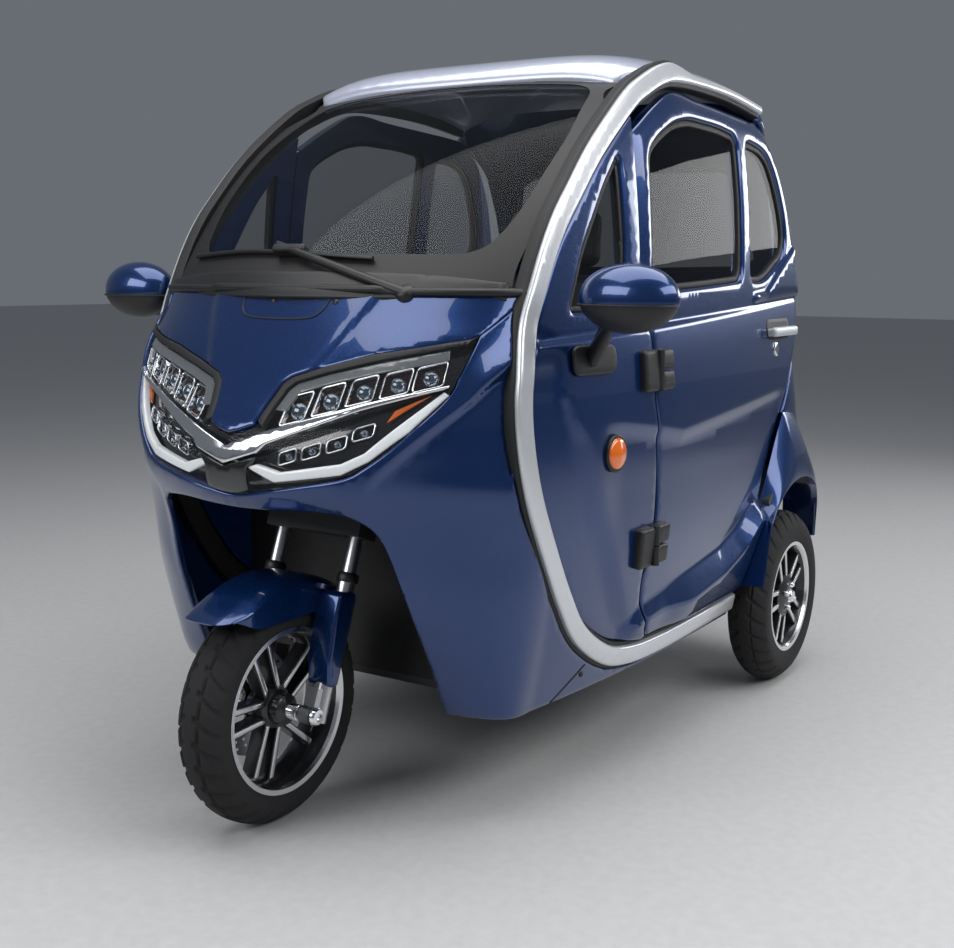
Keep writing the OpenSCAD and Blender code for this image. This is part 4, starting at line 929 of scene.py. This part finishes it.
def nose_crease(p):
    """Below the fold that runs back from the lamp, the nose falls in."""
    mid = nose_front(spline(NOSE_FOLD, 10))
    z = np.interp(np.abs(p[:, 0]), mid[:, 0], mid[:, 1], left=0, right=0)
    d = z - p[:, 1]
    return CREASE * ease(d / 26) * ease(1.25 - d / 240) * (z > 0) * fade(np.abs(p[:, 0]), mid[0, 0], 60)


def bonnet_folds(p):
    """The middle of the bonnet stands up between two folds."""
    y = np.abs(on_nose(p)[:, 1])
    edge = 70 + 0.55 * np.maximum(p[:, 1] - 770, 0)
    return FOLD_RISE * ease((edge - y) / 22 + 0.5) - 3


def nose_pieces():
    mouth = nose_front(spline(MOUTH))
    mouth[-1, 0] = 0
    foot = line([(nose_band[-1, 0], NOSE_FOOT), (mouth[0, 0], NOSE_FOOT)], 12, False)
    half = np.concatenate([lamp_low, hip[1:-1], nose_band, foot, mouth[1:]])
    mid = nose_front(spline(NOSE_FOLD, 7))
    rows = [mid * [s, 1] + [0, o] for s in (-1, 1) for o in (5, 0, -7, -14, -21, -28)]
    put(panel("nose", both_halves(half), on_nose, PANEL, grid=12, edge=5, relief=nose_crease, rows=rows),
        "body_blue", replaces=("nose_panel",))
    rim = nose_front([(436, NOSE_TOP)])[0, 0]
    half = np.concatenate([bonnet_edge, hip[1:], line([(rim, NOSE_TOP), (0, NOSE_TOP)], 12, False)])
    put(panel("bonnet_skin", both_halves(half), on_nose, PANEL, grid=10, edge=4, relief=bonnet_folds),
        "body_blue", replaces=("bonnet",))
    seal = line([(rim - 6, NOSE_TOP - 5), (6 - rim, NOSE_TOP - 5)], 10, False)
    put(tube("cowl_seal", raised(on_nose, seal, bonnet_folds(seal) + 2, 1), 8.0, 12), "black_plastic")
    flap = nose_front(spline(FLAP, 6))
    put(tube("bonnet_flap_line", raised(on_nose, flap, bonnet_folds(flap) + 0.4, 1), 1.8, 8), "black_seal")
    for k, y in enumerate((-28, 118)):
        spot = raised(on_nose, nose_front([(y, 990)]), [0], 1)[0]
        put(lathe("washer_nozzle%d" % k, dome(9, 7, 4), spot, (0.75, 0, 0.66), 20), "black_plastic")
    seam = nose_side(line([(292, 276), (391, 220)], 8, False))
    pair(tube("skirt_seam", raised(on_nose, seam, np.full(len(seam), 0.3), 1), 1.5, 8), "black_seal")
    bolt = raised(on_nose, nose_side([(299, 257)]), [0], 1)[0]
    pair(lathe("skirt_bolt", dome(6, 4, 3), bolt, (0.1, 1, -0.1), 20), "black_plastic")


def lamp_frame(y, z, w, h, slope):
    """A lamp window in the front view."""
    corners = ((-1, -1), (1, -1), (1, 1), (-1, 1))
    return rounded([(y + a * w, z + b * h + a * slope * w) for a, b in corners], 9, 5)


def hoop(window, thick, width, edge, lift):
    """The bright hoop round a lamp window."""
    return panel("ring", window, on_nose, thick, [inset(window, width)], grid=10, edge=edge, lift=lift)


def lamp_eye(y, z, deep, r, h, n):
    """A lens inside a lamp window."""
    return lathe("eye", dome(r, h, 2), raised(on_nose, nose_front([(y, z)]), [deep], 1)[0], EYE_AXIS, n)


def lamps():
    outline = both_halves(np.concatenate([lamp_low, bonnet_edge[::-1][1:]]))
    put(panel("lamp_back", inset(outline, 2), on_nose, 6, grid=24, edge=0, lift=-26), "lamp_dark")
    put(panel("lamp_lens", inset(outline, 2.5), on_nose, 3, grid=22, edge=0, lift=-1.5), "lamp_clear",
        replaces=("headlamps",))
    bright_v = both_halves(nose_front(line(CHROME_V, 8, False)))
    put(panel("nose_v", bright_v, on_nose, 12, grid=12, edge=3.5, lift=4), "chrome", replaces=("nose_bar",))
    middle = both_halves(nose_front(line(LAMP_MIDDLE, 6, False)))
    put(panel("lamp_middle", middle, on_nose, 10, grid=12, edge=2, lift=0.5), "lamp_dark")
    lens_top = nose_front(line(LENS_TOP, 8, False))
    gasket = np.concatenate([nose_front(line(BONNET_EDGE[2:], 8, False))[1:], lens_top])
    pair(panel("lamp_gasket", inset(gasket, 0.6), on_nose, 12, grid=10, edge=2, lift=0.8), "black_seal")
    pair(panel("lamp_brow", strip(lens_top[3:-4], 1, 19), on_nose, 4, grid=8, edge=1, lift=-5), "lamp_grey")
    pipe = nose_front(line(LIGHT_PIPE, 8))
    pair(panel("lamp_pipe", pipe, on_nose, 12, grid=10, edge=4, lift=-3.5), "lamp_white")
    low_edge, top_edge = sorted(CHROME_V[4:8]), sorted(LENS_TOP[:6])
    rings, cups, eyes = [], [], []
    for y in TOP_LAMPS:
        z0, z1 = at(low_edge, y) + 5, at(top_edge, y) - 20
        z = (z0 + z1) / 2
        spot = nose_front(lamp_frame(y, z, 24, (z1 - z0) / 2, 0.27))
        rings.append(hoop(spot, 18, 3.2, 1.4, -6))
        cups.append(panel("cup", inset(spot, 4), on_nose, 4, grid=8, edge=0, lift=-20))
        eyes.append(lamp_eye(y, z, -22, 0.34 * (z1 - z0), 12, 28))
    for y, z in LOW_LAMPS:
        rings.append(hoop(nose_front(lamp_frame(y, z, 18, 13, 0.34)), 14, 2.6, 1.1, -9))
        eyes.append(lamp_eye(y, z, -20, 8, 8, 24))
    pair(merged("lamp_hoops", rings), "chrome")
    pair(merged("lamp_cups", cups), "lamp_cup")
    pair(merged("lamp_eyes", eyes), "lamp_lens")
    pair(panel("lamp_turn", nose_front(line(TURN_LAMP, 5)), on_nose, 5, grid=8, edge=1.5, lift=-9), "amber")


# Windscreen, wiper and roof
CABIN_BACK = [(-600, 226), (-600, 1455)]
cabin_side = np.concatenate([beside(band_mid, SEAL_HALF), CABIN_BACK])
COWL_T, COWL_LIFT = 22, 13
SCREEN_BAND = [(-350, 716), (350, 716), (336, 752), (-336, 752)]
PIVOT = [(19, -8), (19, 10), (16, 15), (9, 18), (1, 19)]
# Outline, as (Y, X) for one half, of a black sheet under the roof's front lip: painted shade standing in for
# the shadow beneath the roof's overhang
ROOF_LIP_SHADE = np.array([(0.0, 60), (400, 60), (424, 20), (430, -60), (0, -60)])


def screen_edge(s):
    """Half width of the screen at a share of its height, found where it meets the seal in the side view."""
    lo, hi = 0.3, 1.0
    for _ in range(30):
        m = (lo + hi) / 2
        q = on_screen(np.array([[m * SCREEN_HALF, s * SCREEN_H]]))
        lo, hi = (lo, m) if inside(q[:, [0, 2]], cabin_side)[0] else (m, hi)
    return lo * SCREEN_HALF


def cowl_line(edge):
    """Cover across the foot of the screen, dipping at its sides."""
    top = spline([(edge[1, 0] - 4, 12), (250, 30), (0, 34), (-250, 30), (-edge[1, 0] + 4, 12)], 10)
    return np.concatenate([top, line([(-edge[0, 0] + 2, -26), (edge[0, 0] - 2, -26)], 10, False)])


def screen():
    rise = np.linspace(0, 1.03, 60)
    edge = np.array([(screen_edge(s), SCREEN_H * s) for s in rise])
    head = line([edge[-1], edge[-1] * [-1, 1]], 10, False)[1:-1]
    foot = line([edge[0] * [-1, 1], edge[0]], 10, False)[1:-1]
    outline = np.concatenate([edge, head, (edge * [-1, 1])[::-1], foot])
    put(panel("screen", outline, on_screen, 8, grid=40, edge=0), "glass", replaces=("windscreen",))
    right = [(edge[8, 0] - 66, 84), (edge[16, 0] - 50, edge[16, 1]), (edge[34, 0] - 44, edge[34, 1]),
             (edge[53, 0] - 40, 702)]
    clear = rounded(right + [(-y, z) for y, z in right[::-1]], 70)
    put(panel("screen_border", outline, on_screen, 2, [clear], grid=16, edge=0, lift=1.2), "black_seal")
    put(panel("screen_head", line(SCREEN_BAND, 10), on_screen, 2, grid=20, edge=0, lift=2.4), "lamp_grey")
    put(panel("screen_cowl", cowl_line(edge), on_screen, COWL_T, grid=16, edge=4, lift=COWL_LIFT),
        "black_plastic")


def wiper():
    blade, arm = spline(screen_front(BLADE), 9), spline(screen_front(ARM), 9)
    n = len(arm)
    pieces = [tube("blade", raised(on_screen, blade, np.full(len(blade), 9.0), 1), 4.5, 10),
              tube("rubber", raised(on_screen, blade, np.full(len(blade), 5.0), 1), 3.0, 8),
              tube("arm", raised(on_screen, arm, np.linspace(12, 20, n), 1), np.linspace(11, 6.5, n), 12)]
    joint = raised(on_screen, screen_front([(-40, 1076)]), [14], 1)[0]
    pieces.append(block("clip", joint, (26, 78, 17), 6, tilt(-math.degrees(LEAN))))
    pivot = raised(on_screen, screen_front([ARM[0]]), [4], 1)[0]
    pieces.append(lathe("pivot", PIVOT, pivot, (0.6, 0, 0.8), 32))
    put(merged("wiper_set", pieces), "black_plastic", replaces=("wiper",))


def roof():
    xs = np.linspace(ROOF[0, 0], ROOF[-1, 0], 90)
    roof_z = smooth_at(ROOF[::-1, 0], ROOF[::-1, 1], xs)
    top = band_out[:200][np.argsort(band_out[:200, 0])]
    room = np.clip((roof_z - np.interp(xs, top[:, 0], top[:, 1]) + 12) / ROOF_DROP, 0.2, 1)
    half = ROOF_HALF * room ** 0.2
    half = np.convolve(np.pad(half, 4, mode="edge"), np.ones(9) / 9, "valid")
    right = np.stack([xs, half], 1)
    across = [line([right[k] * [1, s], right[k] * [1, -s]], 16, False)[1:-1] for k, s in ((-1, 1), (0, -1))]
    outline = np.concatenate([right, across[0], (right * [1, -1])[::-1], across[1]])
    put(panel("roof_skin", outline, on_roof, 20, grid=22, edge=9), "roof_paint", replaces=("roof",))
    # Painted shade: a black sheet under the roof's front lip stands in for the shadow that the overhang casts
    # at the head of the screen
    lip = line(both_halves(ROOF_LIP_SHADE)[:, ::-1], 14)
    put(panel("roof_lip_painted_shade", lip, on_roof, 10, grid=24, edge=3, lift=-20), "black_seal")


# The tail and the fenders
TAIL_HALF, TAIL_FOOT = 415.0, 402
FENDER_T, FENDER_LIP, FENDER_IN = 5, 16, 44
arch_mid = REAR[[0, 2]] + [0, ARCH_RISE]
door_tail = spline(DOOR_TAIL, 9)


def fender_share(deg):
    """Reach of a fender from its arch's middle, as a share of the arch's radius."""
    return smooth_at(FENDER[:, 0], FENDER[:, 1], deg)


def tail_line():
    """Half outline of the tail: under the roof, down the door's edge and round behind the fender."""
    top_y = np.linspace(0, 425, 24)
    top = tail_front(np.stack([top_y, ROOF[-1, 1] - 3 - ROOF_DROP * (top_y / ROOF_HALF) ** 5], 1))
    door_edge = inset(door_line, -GAP)
    door_edge = door_edge[(door_edge[:, 0] < TAIL_X - 2) & (door_edge[:, 1] > 700)][::-1]
    turns = np.arange(84, 140, 3.0)
    reach, a = ARCH_R * (fender_share(turns) - 0.03), np.radians(turns)
    arch = np.stack([arch_mid[0] + reach * np.cos(a), arch_mid[1] + reach * np.sin(a)], 1)
    side = tail_side(np.concatenate([door_edge, arch]))
    inner = tail_front(np.stack([np.full(len(side), TAIL_HALF), side[:, 1]], 1))
    side[:, 0] = np.maximum(side[:, 0], inner[:, 0])
    foot = tail_front(line([(TAIL_HALF, TAIL_FOOT), (0, TAIL_FOOT)], 14, False))
    return np.concatenate([top, line(side, 12, False), foot])


def tail_sheet(name, outline, thick, holes=(), **more):
    """A panel of the tail."""
    return panel(name, outline, on_tail, thick, holes, out=-1, **more)


def tail():
    window = both_halves(tail_front(line(REAR_WIN, 10, False)))
    lamp = tail_front(rounded(TAIL_LAMP, 22))
    openings = [window, lamp, lamp * [-1, 1]]
    put(tail_sheet("tail_skin", both_halves(tail_line()), PANEL, openings, grid=20, edge=5), "body_blue",
        replaces=("tail_panel",))
    rubber = tail_sheet("rear_rubber", inset(window, -6), 8, [inset(window, 12)], grid=12, edge=3, lift=2.5)
    put(rubber, "black_seal")
    bezel = tail_sheet("tail_lamp_bezel", inset(lamp, -7), 8, [inset(lamp, 3)], grid=10, edge=3, lift=4)
    pair(bezel, "black_plastic")
    lens = tail_sheet("tail_lamp_lens", inset(lamp, 1), 14, grid=5, edge=5, lift=7,
                      relief=lambda p: 1.3 * np.cos(2 * math.pi * p[:, 1] / 16))
    pair(lens, "lamp_red", left=("tail_lamps",))


def fender_row(deg, share):
    """A fender's section at an angle round its arch: from the arch edge out to the door or the tail."""
    arch_y = FENDER_Y - FENDER_IN * fade(deg, 105, 70)
    turn = np.array([math.cos(math.radians(deg)), math.sin(math.radians(deg))])

    def past_door(r):
        x, z = arch_mid + r * turn
        return x - np.interp(z, door_tail[:, 1], door_tail[:, 0]) + GAP

    lo, hi = ARCH_R, share * ARCH_R
    if past_door(hi) > 0:
        for _ in range(20):
            half = (lo + hi) / 2
            lo, hi = (lo, half) if past_door(half) > 0 else (half, hi)
    edge, end = arch_mid + ARCH_R * turn, arch_mid + hi * turn
    edge[0] -= max(0.0, past_door(ARCH_R) + 3)
    end[0] -= max(0.0, past_door(hi))
    base = float(tail_y(end[0], end[1]))
    k = np.linspace(0, 1, 16)[:, None]
    flat = edge + (end - edge) * k
    y = base + (arch_y - base) * np.cos(math.pi / 2 * k[:, 0]) ** 0.9
    front = fade(deg, 52, -30)
    lip = np.array([[edge[0] - 14 * front, arch_y - FENDER_LIP + 11 * front, edge[1]]])
    return np.concatenate([lip, np.stack([flat[:, 0], y, flat[:, 1]], 1)])


def fenders():
    turns = np.linspace(FENDER[0, 0], FENDER[-1, 0], 110)
    outer = np.array([fender_row(d, s) for d, s in zip(turns, fender_share(turns))])
    normal = np.cross(np.gradient(outer, axis=0), np.gradient(outer, axis=1))
    normal /= np.maximum(np.linalg.norm(normal, axis=2, keepdims=True), TINY)
    normal *= np.sign(normal[:, 8, 1].sum())
    pair(shell("fender", outer, outer - FENDER_T * normal, 50), "body_blue", left=("fenders",))


# Mirrors
MIRROR, MIRROR_W, MIRROR_D = np.array([446.0, 607.0, 1003.0]), 190.0, 110.0
MIRROR_H, MIRROR_CUT, MIRROR_SPLIT = 1.12 * MIRROR_D, -0.17 * MIRROR_D, -12


def mirror_cap():
    """A rounded shell, cut flat at the back."""
    half = MIRROR_D / 2
    front = [(math.sin(math.pi / 2 * k), math.cos(math.pi / 2 * k)) for k in np.linspace(0.02, 1, 14)]
    back = [(math.cos(b), -math.sin(b)) for b in np.linspace(0.08, math.asin(-MIRROR_CUT / half), 4)]
    turns = np.linspace(0, 2 * math.pi, 56, endpoint=False)
    verts = [MIRROR + [x * half, s * math.cos(t) * MIRROR_W / 2, s * math.sin(t) * MIRROR_H / 2]
             for s, x in front + back for t in turns]
    return new_mesh("mirror_cap", verts, ring_faces(len(front + back), len(turns), False), 50)


def mirrors():
    cap = mirror_cap()
    other = mirror_copy(cap, "mirror_cap_r")
    for o, what in ((cap, ("mirror_shells",)), (other, ())):
        put(o, "body_blue", replaces=what)
        o.data.materials.append(M["black_plastic"])
        for f in o.data.polygons:
            f.material_index = 1 if f.center.z < (MIRROR[2] + MIRROR_SPLIT) * MM else 0
    ridge = [MIRROR + [math.cos(t) * MIRROR_D / 2 * 1.01, math.sin(t) * MIRROR_W / 2 * 1.01, MIRROR_SPLIT]
             for t in np.linspace(-1.42, 1.42, 40)]
    pair(tube("mirror_ridge", ridge, 2.0, 8), "black_seal")
    size = math.sqrt(1 - (MIRROR_CUT / (MIRROR_D / 2)) ** 2)
    ring = [MIRROR + [MIRROR_CUT - 1.5, size * math.cos(t) * (MIRROR_W / 2 - 3),
                      size * math.sin(t) * (MIRROR_H / 2 - 3)] for t in np.linspace(0, 2 * math.pi, 60)]
    pair(tube("mirror_rim", ring, 2.6, 8), "black_plastic")
    base = raised(on_left, np.array([(342.0, 885.0)]), [0], -1)[0]
    neck = spline([base + [0, 4, 0], base + [26, 34, 34], base + [62, 68, 66], MIRROR + [-8, -36, -44]], 8)
    pair(tube("mirror_neck", neck, np.linspace(17, 12, len(neck)), 16), "black_plastic")
    foot = side_sheet("mirror_foot", box_line(262, 406, 857, 913, 24), 6, grid=12, edge=4, lift=10)
    pair(foot, "black_plastic", left=("mirror_arms",))


# Wheels, fork and mudguard
FRONT_R, FRONT_RIM, REAR_R, REAR_RIM = 222.0, 158.0, 221.0, 140.0
TYRE_HALF, RIM_HALF = 52.0, 46.0
TREAD_DEEP, TREAD_COUNT, TREAD_SLANT = 4.5, 30, 0.022
SPOKES, TURN_STEPS = 5, 360
AXLE = (0, 1, 0)
COLLAR = [(15, 247), (20.5, 248), (21.5, 252), (21.5, 262), (19, 266), (15.2, 267)]
COLLAR_BAND = [(18.6, 196), (19.4, 198), (19.4, 208), (18.6, 210)]
AXLE_NUT = [(17, -8), (17, 1), (14, 5), (8, 6), (7, 2), (1, 2)]
HUB_CAP = [(17, 0), (17, 9), (14, 14), (6, 16), (1, 16)]
STAY = [(-10, 48), (16, 46), (32, 92), (44, 186), (43, 226), (-10, 232)]
GUARD_TURNS, GUARD_T = (48.5, 136), 4
GUARD_R, GUARD_HALF, GUARD_LOW, GUARD_CROWN = 262, 66, 406, 15
TIP_RISE, TIP_DRAW, TIP_LOW, TIP_BOW = 20, 12, 26, 0.11
LEG_UP = np.array([-math.sin(RAKE), 0, math.cos(RAKE)])
LEG_AHEAD = np.array([math.cos(RAKE), 0, math.sin(RAKE)])


def tyre(name, c, radius, rim_r, body, node):
    """Tyre with a rounded crown, and tread grooves that slant back from the middle."""
    crown = [(radius - 26 * abs(s) ** 2.6, TYRE_HALF * 0.9 * s) for s in np.linspace(-1, 1, 25)]
    wall = [(radius - 34, TYRE_HALF * 0.97), (radius - 44, TYRE_HALF), (rim_r + 8, TYRE_HALF * 0.94),
            (rim_r - 1, TYRE_HALF * 0.84), (rim_r - 4, TYRE_HALF * 0.74)]
    profile = np.array([(r, -y) for r, y in wall[::-1]] + crown + wall)
    m, n = len(profile), TURN_STEPS
    a = np.arange(n) * 2 * math.pi / n
    r, y = np.repeat(profile[:, :1], n, 1), np.repeat(profile[:, 1:], n, 1)
    rows = np.arange(m)
    tread = (rows >= len(wall)) & (rows < len(wall) + len(crown))
    slant = (a[None] * TREAD_COUNT / (2 * math.pi) + np.abs(y) * TREAD_SLANT) % 1
    groove = ((slant < 0.2) & (np.abs(y) > 9)) | (np.abs(np.abs(y) - 20) < 2.2)
    r = r - TREAD_DEEP * (groove & tread[:, None])
    verts = np.stack([c[0] + r * np.cos(a), c[1] + y, c[2] + r * np.sin(a)], 2).reshape(-1, 3)
    put(new_mesh(name, verts, ring_faces(m, n, True), 30), "tyre", body, (node,))


def spoke_bar(side, hub, rim, wide):
    """One of a pair of spokes, in the wheel's plane."""
    w = 12.0 + 2 * wide
    at_hub, at_rim = side * (12.0 - wide), side * (17.0 - wide)
    return line([(hub, at_hub), (rim, at_rim), (rim, at_rim + side * w), (hub, at_hub + side * (w - 3))], 8)


def rim(name, c, rim_r, hub_r, hub_w, faces, body, node):
    """Black wheel with bright spoke faces and a bright ring at its edge. faces are its two sides' depths."""
    h, half = RIM_HALF, hub_w / 2
    right, left = faces
    barrel = [(rim_r + 2, -h), (rim_r + 2, -h + 4), (rim_r - 6, -h + 9), (rim_r - 16, -16), (rim_r - 16, 16),
              (rim_r - 6, h - 9), (rim_r + 2, h - 4), (rim_r + 2, h), (rim_r - 7, h - 1), (rim_r - 12, h - 9),
              (rim_r - 22, 17), (rim_r - 22, -17), (rim_r - 12, -h + 9), (rim_r - 7, -h + 1)]
    hub = [(hub_r * 0.62, -half), (hub_r, -half + 8), (hub_r, -right - 2), (hub_r + 10, -right + 2),
           (hub_r + 10, left - 2), (hub_r, left + 2), (hub_r, half - 8), (hub_r * 0.62, half)]
    bars = [panel("bar", spoke_bar(s, hub_r - 4, rim_r - 16, 2.5), on_disc(c, c[1] + left), left + right,
                  grid=20, edge=2, out=-1) for s in (-1, 1)]
    black = [lathe("barrel", barrel, c, AXLE, 96, True), lathe("hub", hub, c, AXLE, 48),
             spun("bars", bars, c, SPOKES)]
    put(merged(name + "_black", black), "rim_black", body, (node,))
    bright = [panel("face", spoke_bar(s, hub_r + 6, rim_r - 19, 0), on_disc(c, c[1] + y * (face + 1.2)), 3,
                    grid=20, edge=1.2, out=-y) for s in (-1, 1) for y, face in ((-1, right), (1, left))]
    bright = [spun("faces", bright, c, SPOKES)]
    lip = [(rim_r + 2.5, h - 3), (rim_r + 2.5, h + 1.5), (rim_r - 7, h + 0.5), (rim_r - 11, h - 6),
           (rim_r - 9, h - 8)]
    bright += [lathe("lip", [(r, y * d) for r, d in lip], c, AXLE, 96, True) for y in (-1, 1)]
    put(merged(name + "_bright", bright), "rim_alloy", body)


def brake():
    """Drilled disc on a carrier with six arms."""
    lo, hi = [np.array(v) * 1000 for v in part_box("brake_disc")]
    outer, mid_y = (hi[2] - lo[2]) / 2, (lo[1] + hi[1]) / 2
    spots = np.linspace(0, 2 * math.pi, 18, endpoint=False)
    holes = [circle((ring * math.cos(t + 0.12 * i), ring * math.sin(t + 0.12 * i)), 3.6, 12)
             for i, ring in enumerate((outer - 9, outer - 20, outer - 31)) for t in spots]
    holes.append(circle((0, 0), outer - 42, 64))
    disc = panel("disc_drilled", circle((0, 0), outer, 96), on_disc(FRONT, mid_y - 2), 4, holes, grid=14,
                 edge=0.6)
    put(disc, "steel", "front_wheel", ("brake_disc",))
    arm = line([(24, -9), (outer - 40, -6), (outer - 40, 6), (24, 9)], 8)
    arm = panel("arm", arm, on_disc(FRONT, mid_y - 1), 5, grid=14, edge=0.8)
    boss = lathe("boss", [(30, -4), (30, 4)], (FRONT[0], mid_y, FRONT[2]), AXLE, 40)
    put(merged("disc_carrier", [spun("arms", [arm], FRONT, 6), boss]), "rim_black", "front_wheel")


def front_end():
    tyre("front_tyre_road", FRONT, FRONT_R, FRONT_RIM, "front_wheel", "front_tyre")
    rim("front_wheel_rim", FRONT, FRONT_RIM, 30.0, 92.0, (15.0, 15.0), "front_wheel", "front_rim")
    brake()
    collars, caps = [], []
    for s in (-1, 1):
        foot = FORK_FOOT * [1, s, 1]
        collars += [lathe("collar", shape, foot, LEG_UP, 36) for shape in (COLLAR, COLLAR_BAND)]
        caps.append(lathe("nut", AXLE_NUT, FRONT * [1, 0, 1] + [0, s * 112, 0], (0, s, 0), 36))
        caps.append(lathe("sleeve", [(16, 0), (16, 24), (13, 26)], FRONT + [0, s * 47, 0], (0, s, 0), 32))
    put(merged("fork_collars", collars), "black_plastic", "steering")
    put(merged("axle_caps", caps), "chrome", "steering")


def guard_top(a):
    """Radius of the mudguard's crown by angle from the front."""
    return GUARD_R + TIP_RISE * fade(np.degrees(a), 64, -26)


def guard_row(a, inward):
    """A section of the mudguard: a wall up one side, the crown, and a wall down the other."""
    across = np.linspace(-1, 1, 25)
    tip = fade(math.degrees(a), 62, -20)
    bowed = a + TIP_BOW * tip * across ** 4
    top = guard_top(bowed) - inward - GUARD_CROWN * np.abs(across) ** 4 * (1 - 0.4 * tip)
    x, z = FRONT[0] + top * np.cos(bowed), FRONT[2] + top * np.sin(bowed)
    y = (GUARD_HALF - TIP_DRAW * tip - inward) * np.sign(across) * np.abs(across) ** 0.8
    low = GUARD_LOW + TIP_LOW * fade(x[0], 800, 80)
    walls = []
    for s in (0, -1):
        drop = np.linspace(min(low, z[s] - 1), z[s], 5)[:-1]
        walls.append(np.stack([np.full(4, x[s]), np.full(4, y[s]), drop], 1))
    return np.concatenate([walls[0], np.stack([x, y, z], 1), walls[1][::-1]])


def mudguard():
    turns = np.radians(np.linspace(*GUARD_TURNS, 56))
    outer, inner = (np.array([guard_row(a, inward) for a in turns]) for inward in (0, GUARD_T))
    pieces = [shell("guard", outer, inner, 45)]
    for s in (-1, 1):
        def on_leg(p, s=s):
            return FORK_FOOT * [1, s, 1] + [0, s * 26, 0] + p[:, :1] * LEG_AHEAD + p[:, 1:] * LEG_UP
        pieces.append(panel("stay", rounded(STAY, 14, 6), on_leg, 52, grid=14, edge=7, out=-s))
    put(merged("guard_and_stays", pieces), "body_blue", "steering", ("mudguard",))


def rear_wheels():
    for s, side in ((1, "left"), (-1, "right")):
        c = REAR * [1, s, 1]
        body = "rear_wheel_" + side
        tyre("rear_tyre_road_" + side, c, REAR_R, REAR_RIM, body, "rear_tyre_" + side)
        rim("rear_wheel_rim_" + side, c, REAR_RIM, 46.0, 84.0, (17.0, 34.0)[::s], body, "rear_rim_" + side)
        out = (0, s, 0)
        nuts = [lathe("nut", [(7, 0), (7, 8), (5, 11), (1, 11)],
                      c + [30 * math.cos(t), s * 40, 30 * math.sin(t)], out, 24)
                for t in np.arange(4) * math.pi / 2 + 0.4]
        nuts.append(lathe("cap", HUB_CAP, c + [0, s * 40, 0], out, 36))
        put(merged("wheel_nuts_" + side, nuts), "chrome", body)


# Cabin
SEAT_W, BENCH_W, SEAT_FILL = 430.0, 632, 0.8
SEAT_SEAMS, BENCH_SEAMS = (-120, -40, 40, 120), (-190, -64, 64, 190)


def cabin():
    def pad(name, at_place, size, r, lean, crown, seams, bow, inner=14):
        return block(name, at_place, size, r, tilt(lean), inner=inner, crown=crown, channels=seams, bow=bow)

    seat = [pad("cushion", (-205, 0, 500), (356, SEAT_W, 88), 34, 0, 16, SEAT_SEAMS, 6),
            pad("back", (-352, 0, 790), (520, SEAT_W, 84), 34, -98.5, 14, SEAT_SEAMS, 8),
            pad("head", (-368, 0, 1130), (140, 250, 74), 32, -95, 8, (), 4, 10)]
    bench = [pad("bench", (-624, 0, 512), (276, BENCH_W, 104), 36, 0, 14, BENCH_SEAMS, 6),
             pad("rest", (-738, 0, 716), (480, BENCH_W, 66), 28, -97, 10, BENCH_SEAMS, 6)]
    seat = put(merged("driver_seat", seat), "seat_cover", replaces=("front_seat",))
    bench = put(merged("bench_seat", bench), "seat_cover", replaces=("rear_seat",))


for build in (sides, hinges, handle, side_lamps, nose_pieces, lamps, screen, wiper, roof, tail, fenders,
              mirrors, front_end, mudguard, rear_wheels, cabin):
    build()


# Light, floor and camera
scene = bpy.context.scene
scene.view_settings.view_transform = "Standard"
world = bpy.data.worlds.new("world")
scene.world = world
world.use_nodes = True
sky = world.node_tree.nodes["Background"]
sky.inputs["Color"].default_value = (0.70, 0.76, 0.86, 1)
sky.inputs["Strength"].default_value = 0.2


def area_light(name, loc, look, size, power):
    """A soft rectangular lamp that looks at a point. Its places and sizes are metres."""
    d = bpy.data.lights.new(name, "AREA")
    d.shape = "RECTANGLE"
    d.size, d.size_y = size
    d.energy = power
    o = linked(name, d)
    o.location = loc
    o.visible_camera = False
    o.rotation_euler = (Vector(look) - Vector(loc)).to_track_quat("-Z", "Y").to_euler()


area_light("side", (-0.2, 3.3, 2.7), (0, 0.3, 0.6), (4.6, 1.4), 84)
area_light("top", (0.2, 0.2, 3.6), (0, 0, 0.5), (4.8, 2.8), 130)
area_light("front", (4.4, -1.6, 2.7), (0.5, 0, 0.8), (3.2, 1.8), 84)
area_light("back", (-4.3, 2.1, 1.75), (0, 0.6, 0.5), (2.2, 0.8), 28)
FLOOR = 30000
corners = [(FLOOR * x, FLOOR * y, 0) for x, y in ((-1, -1), (1, -1), (1, 1), (-1, 1))]
floor = new_mesh("floor", corners, [(0, 1, 2, 3)])
floor.data.materials.append(material("floor", (0.52, 0.52, 0.52), 0.5, grain=40, vary=0.04))

# The camera's place, in metres, and its turns, in degrees, were fitted to the photo
LENS_PX, IMAGE_W = 1296.3, 954
CAMERA_AT = (2.5059, 1.6190, 1.0459)
YAW, PITCH, ROLL = (math.radians(d) for d in (-147.27, -8.84, 0.4))
cam = bpy.data.cameras.new("camera")
cam.sensor_fit = "HORIZONTAL"
cam.sensor_width = 36
cam.lens = LENS_PX * cam.sensor_width / IMAGE_W
camera = linked("camera", cam)
ahead = Vector((math.cos(PITCH) * math.cos(YAW), math.cos(PITCH) * math.sin(YAW), math.sin(PITCH)))
level = ahead.cross(Vector((0, 0, 1))).normalized()
upright = level.cross(ahead)
right = math.cos(ROLL) * level + math.sin(ROLL) * upright
up = math.cos(ROLL) * upright - math.sin(ROLL) * level
rows = [(right[k], up[k], -ahead[k], CAMERA_AT[k]) for k in range(3)]
camera.matrix_world = Matrix(rows + [(0, 0, 0, 1)])
scene.camera = camera

bpy.context.view_layer.update()
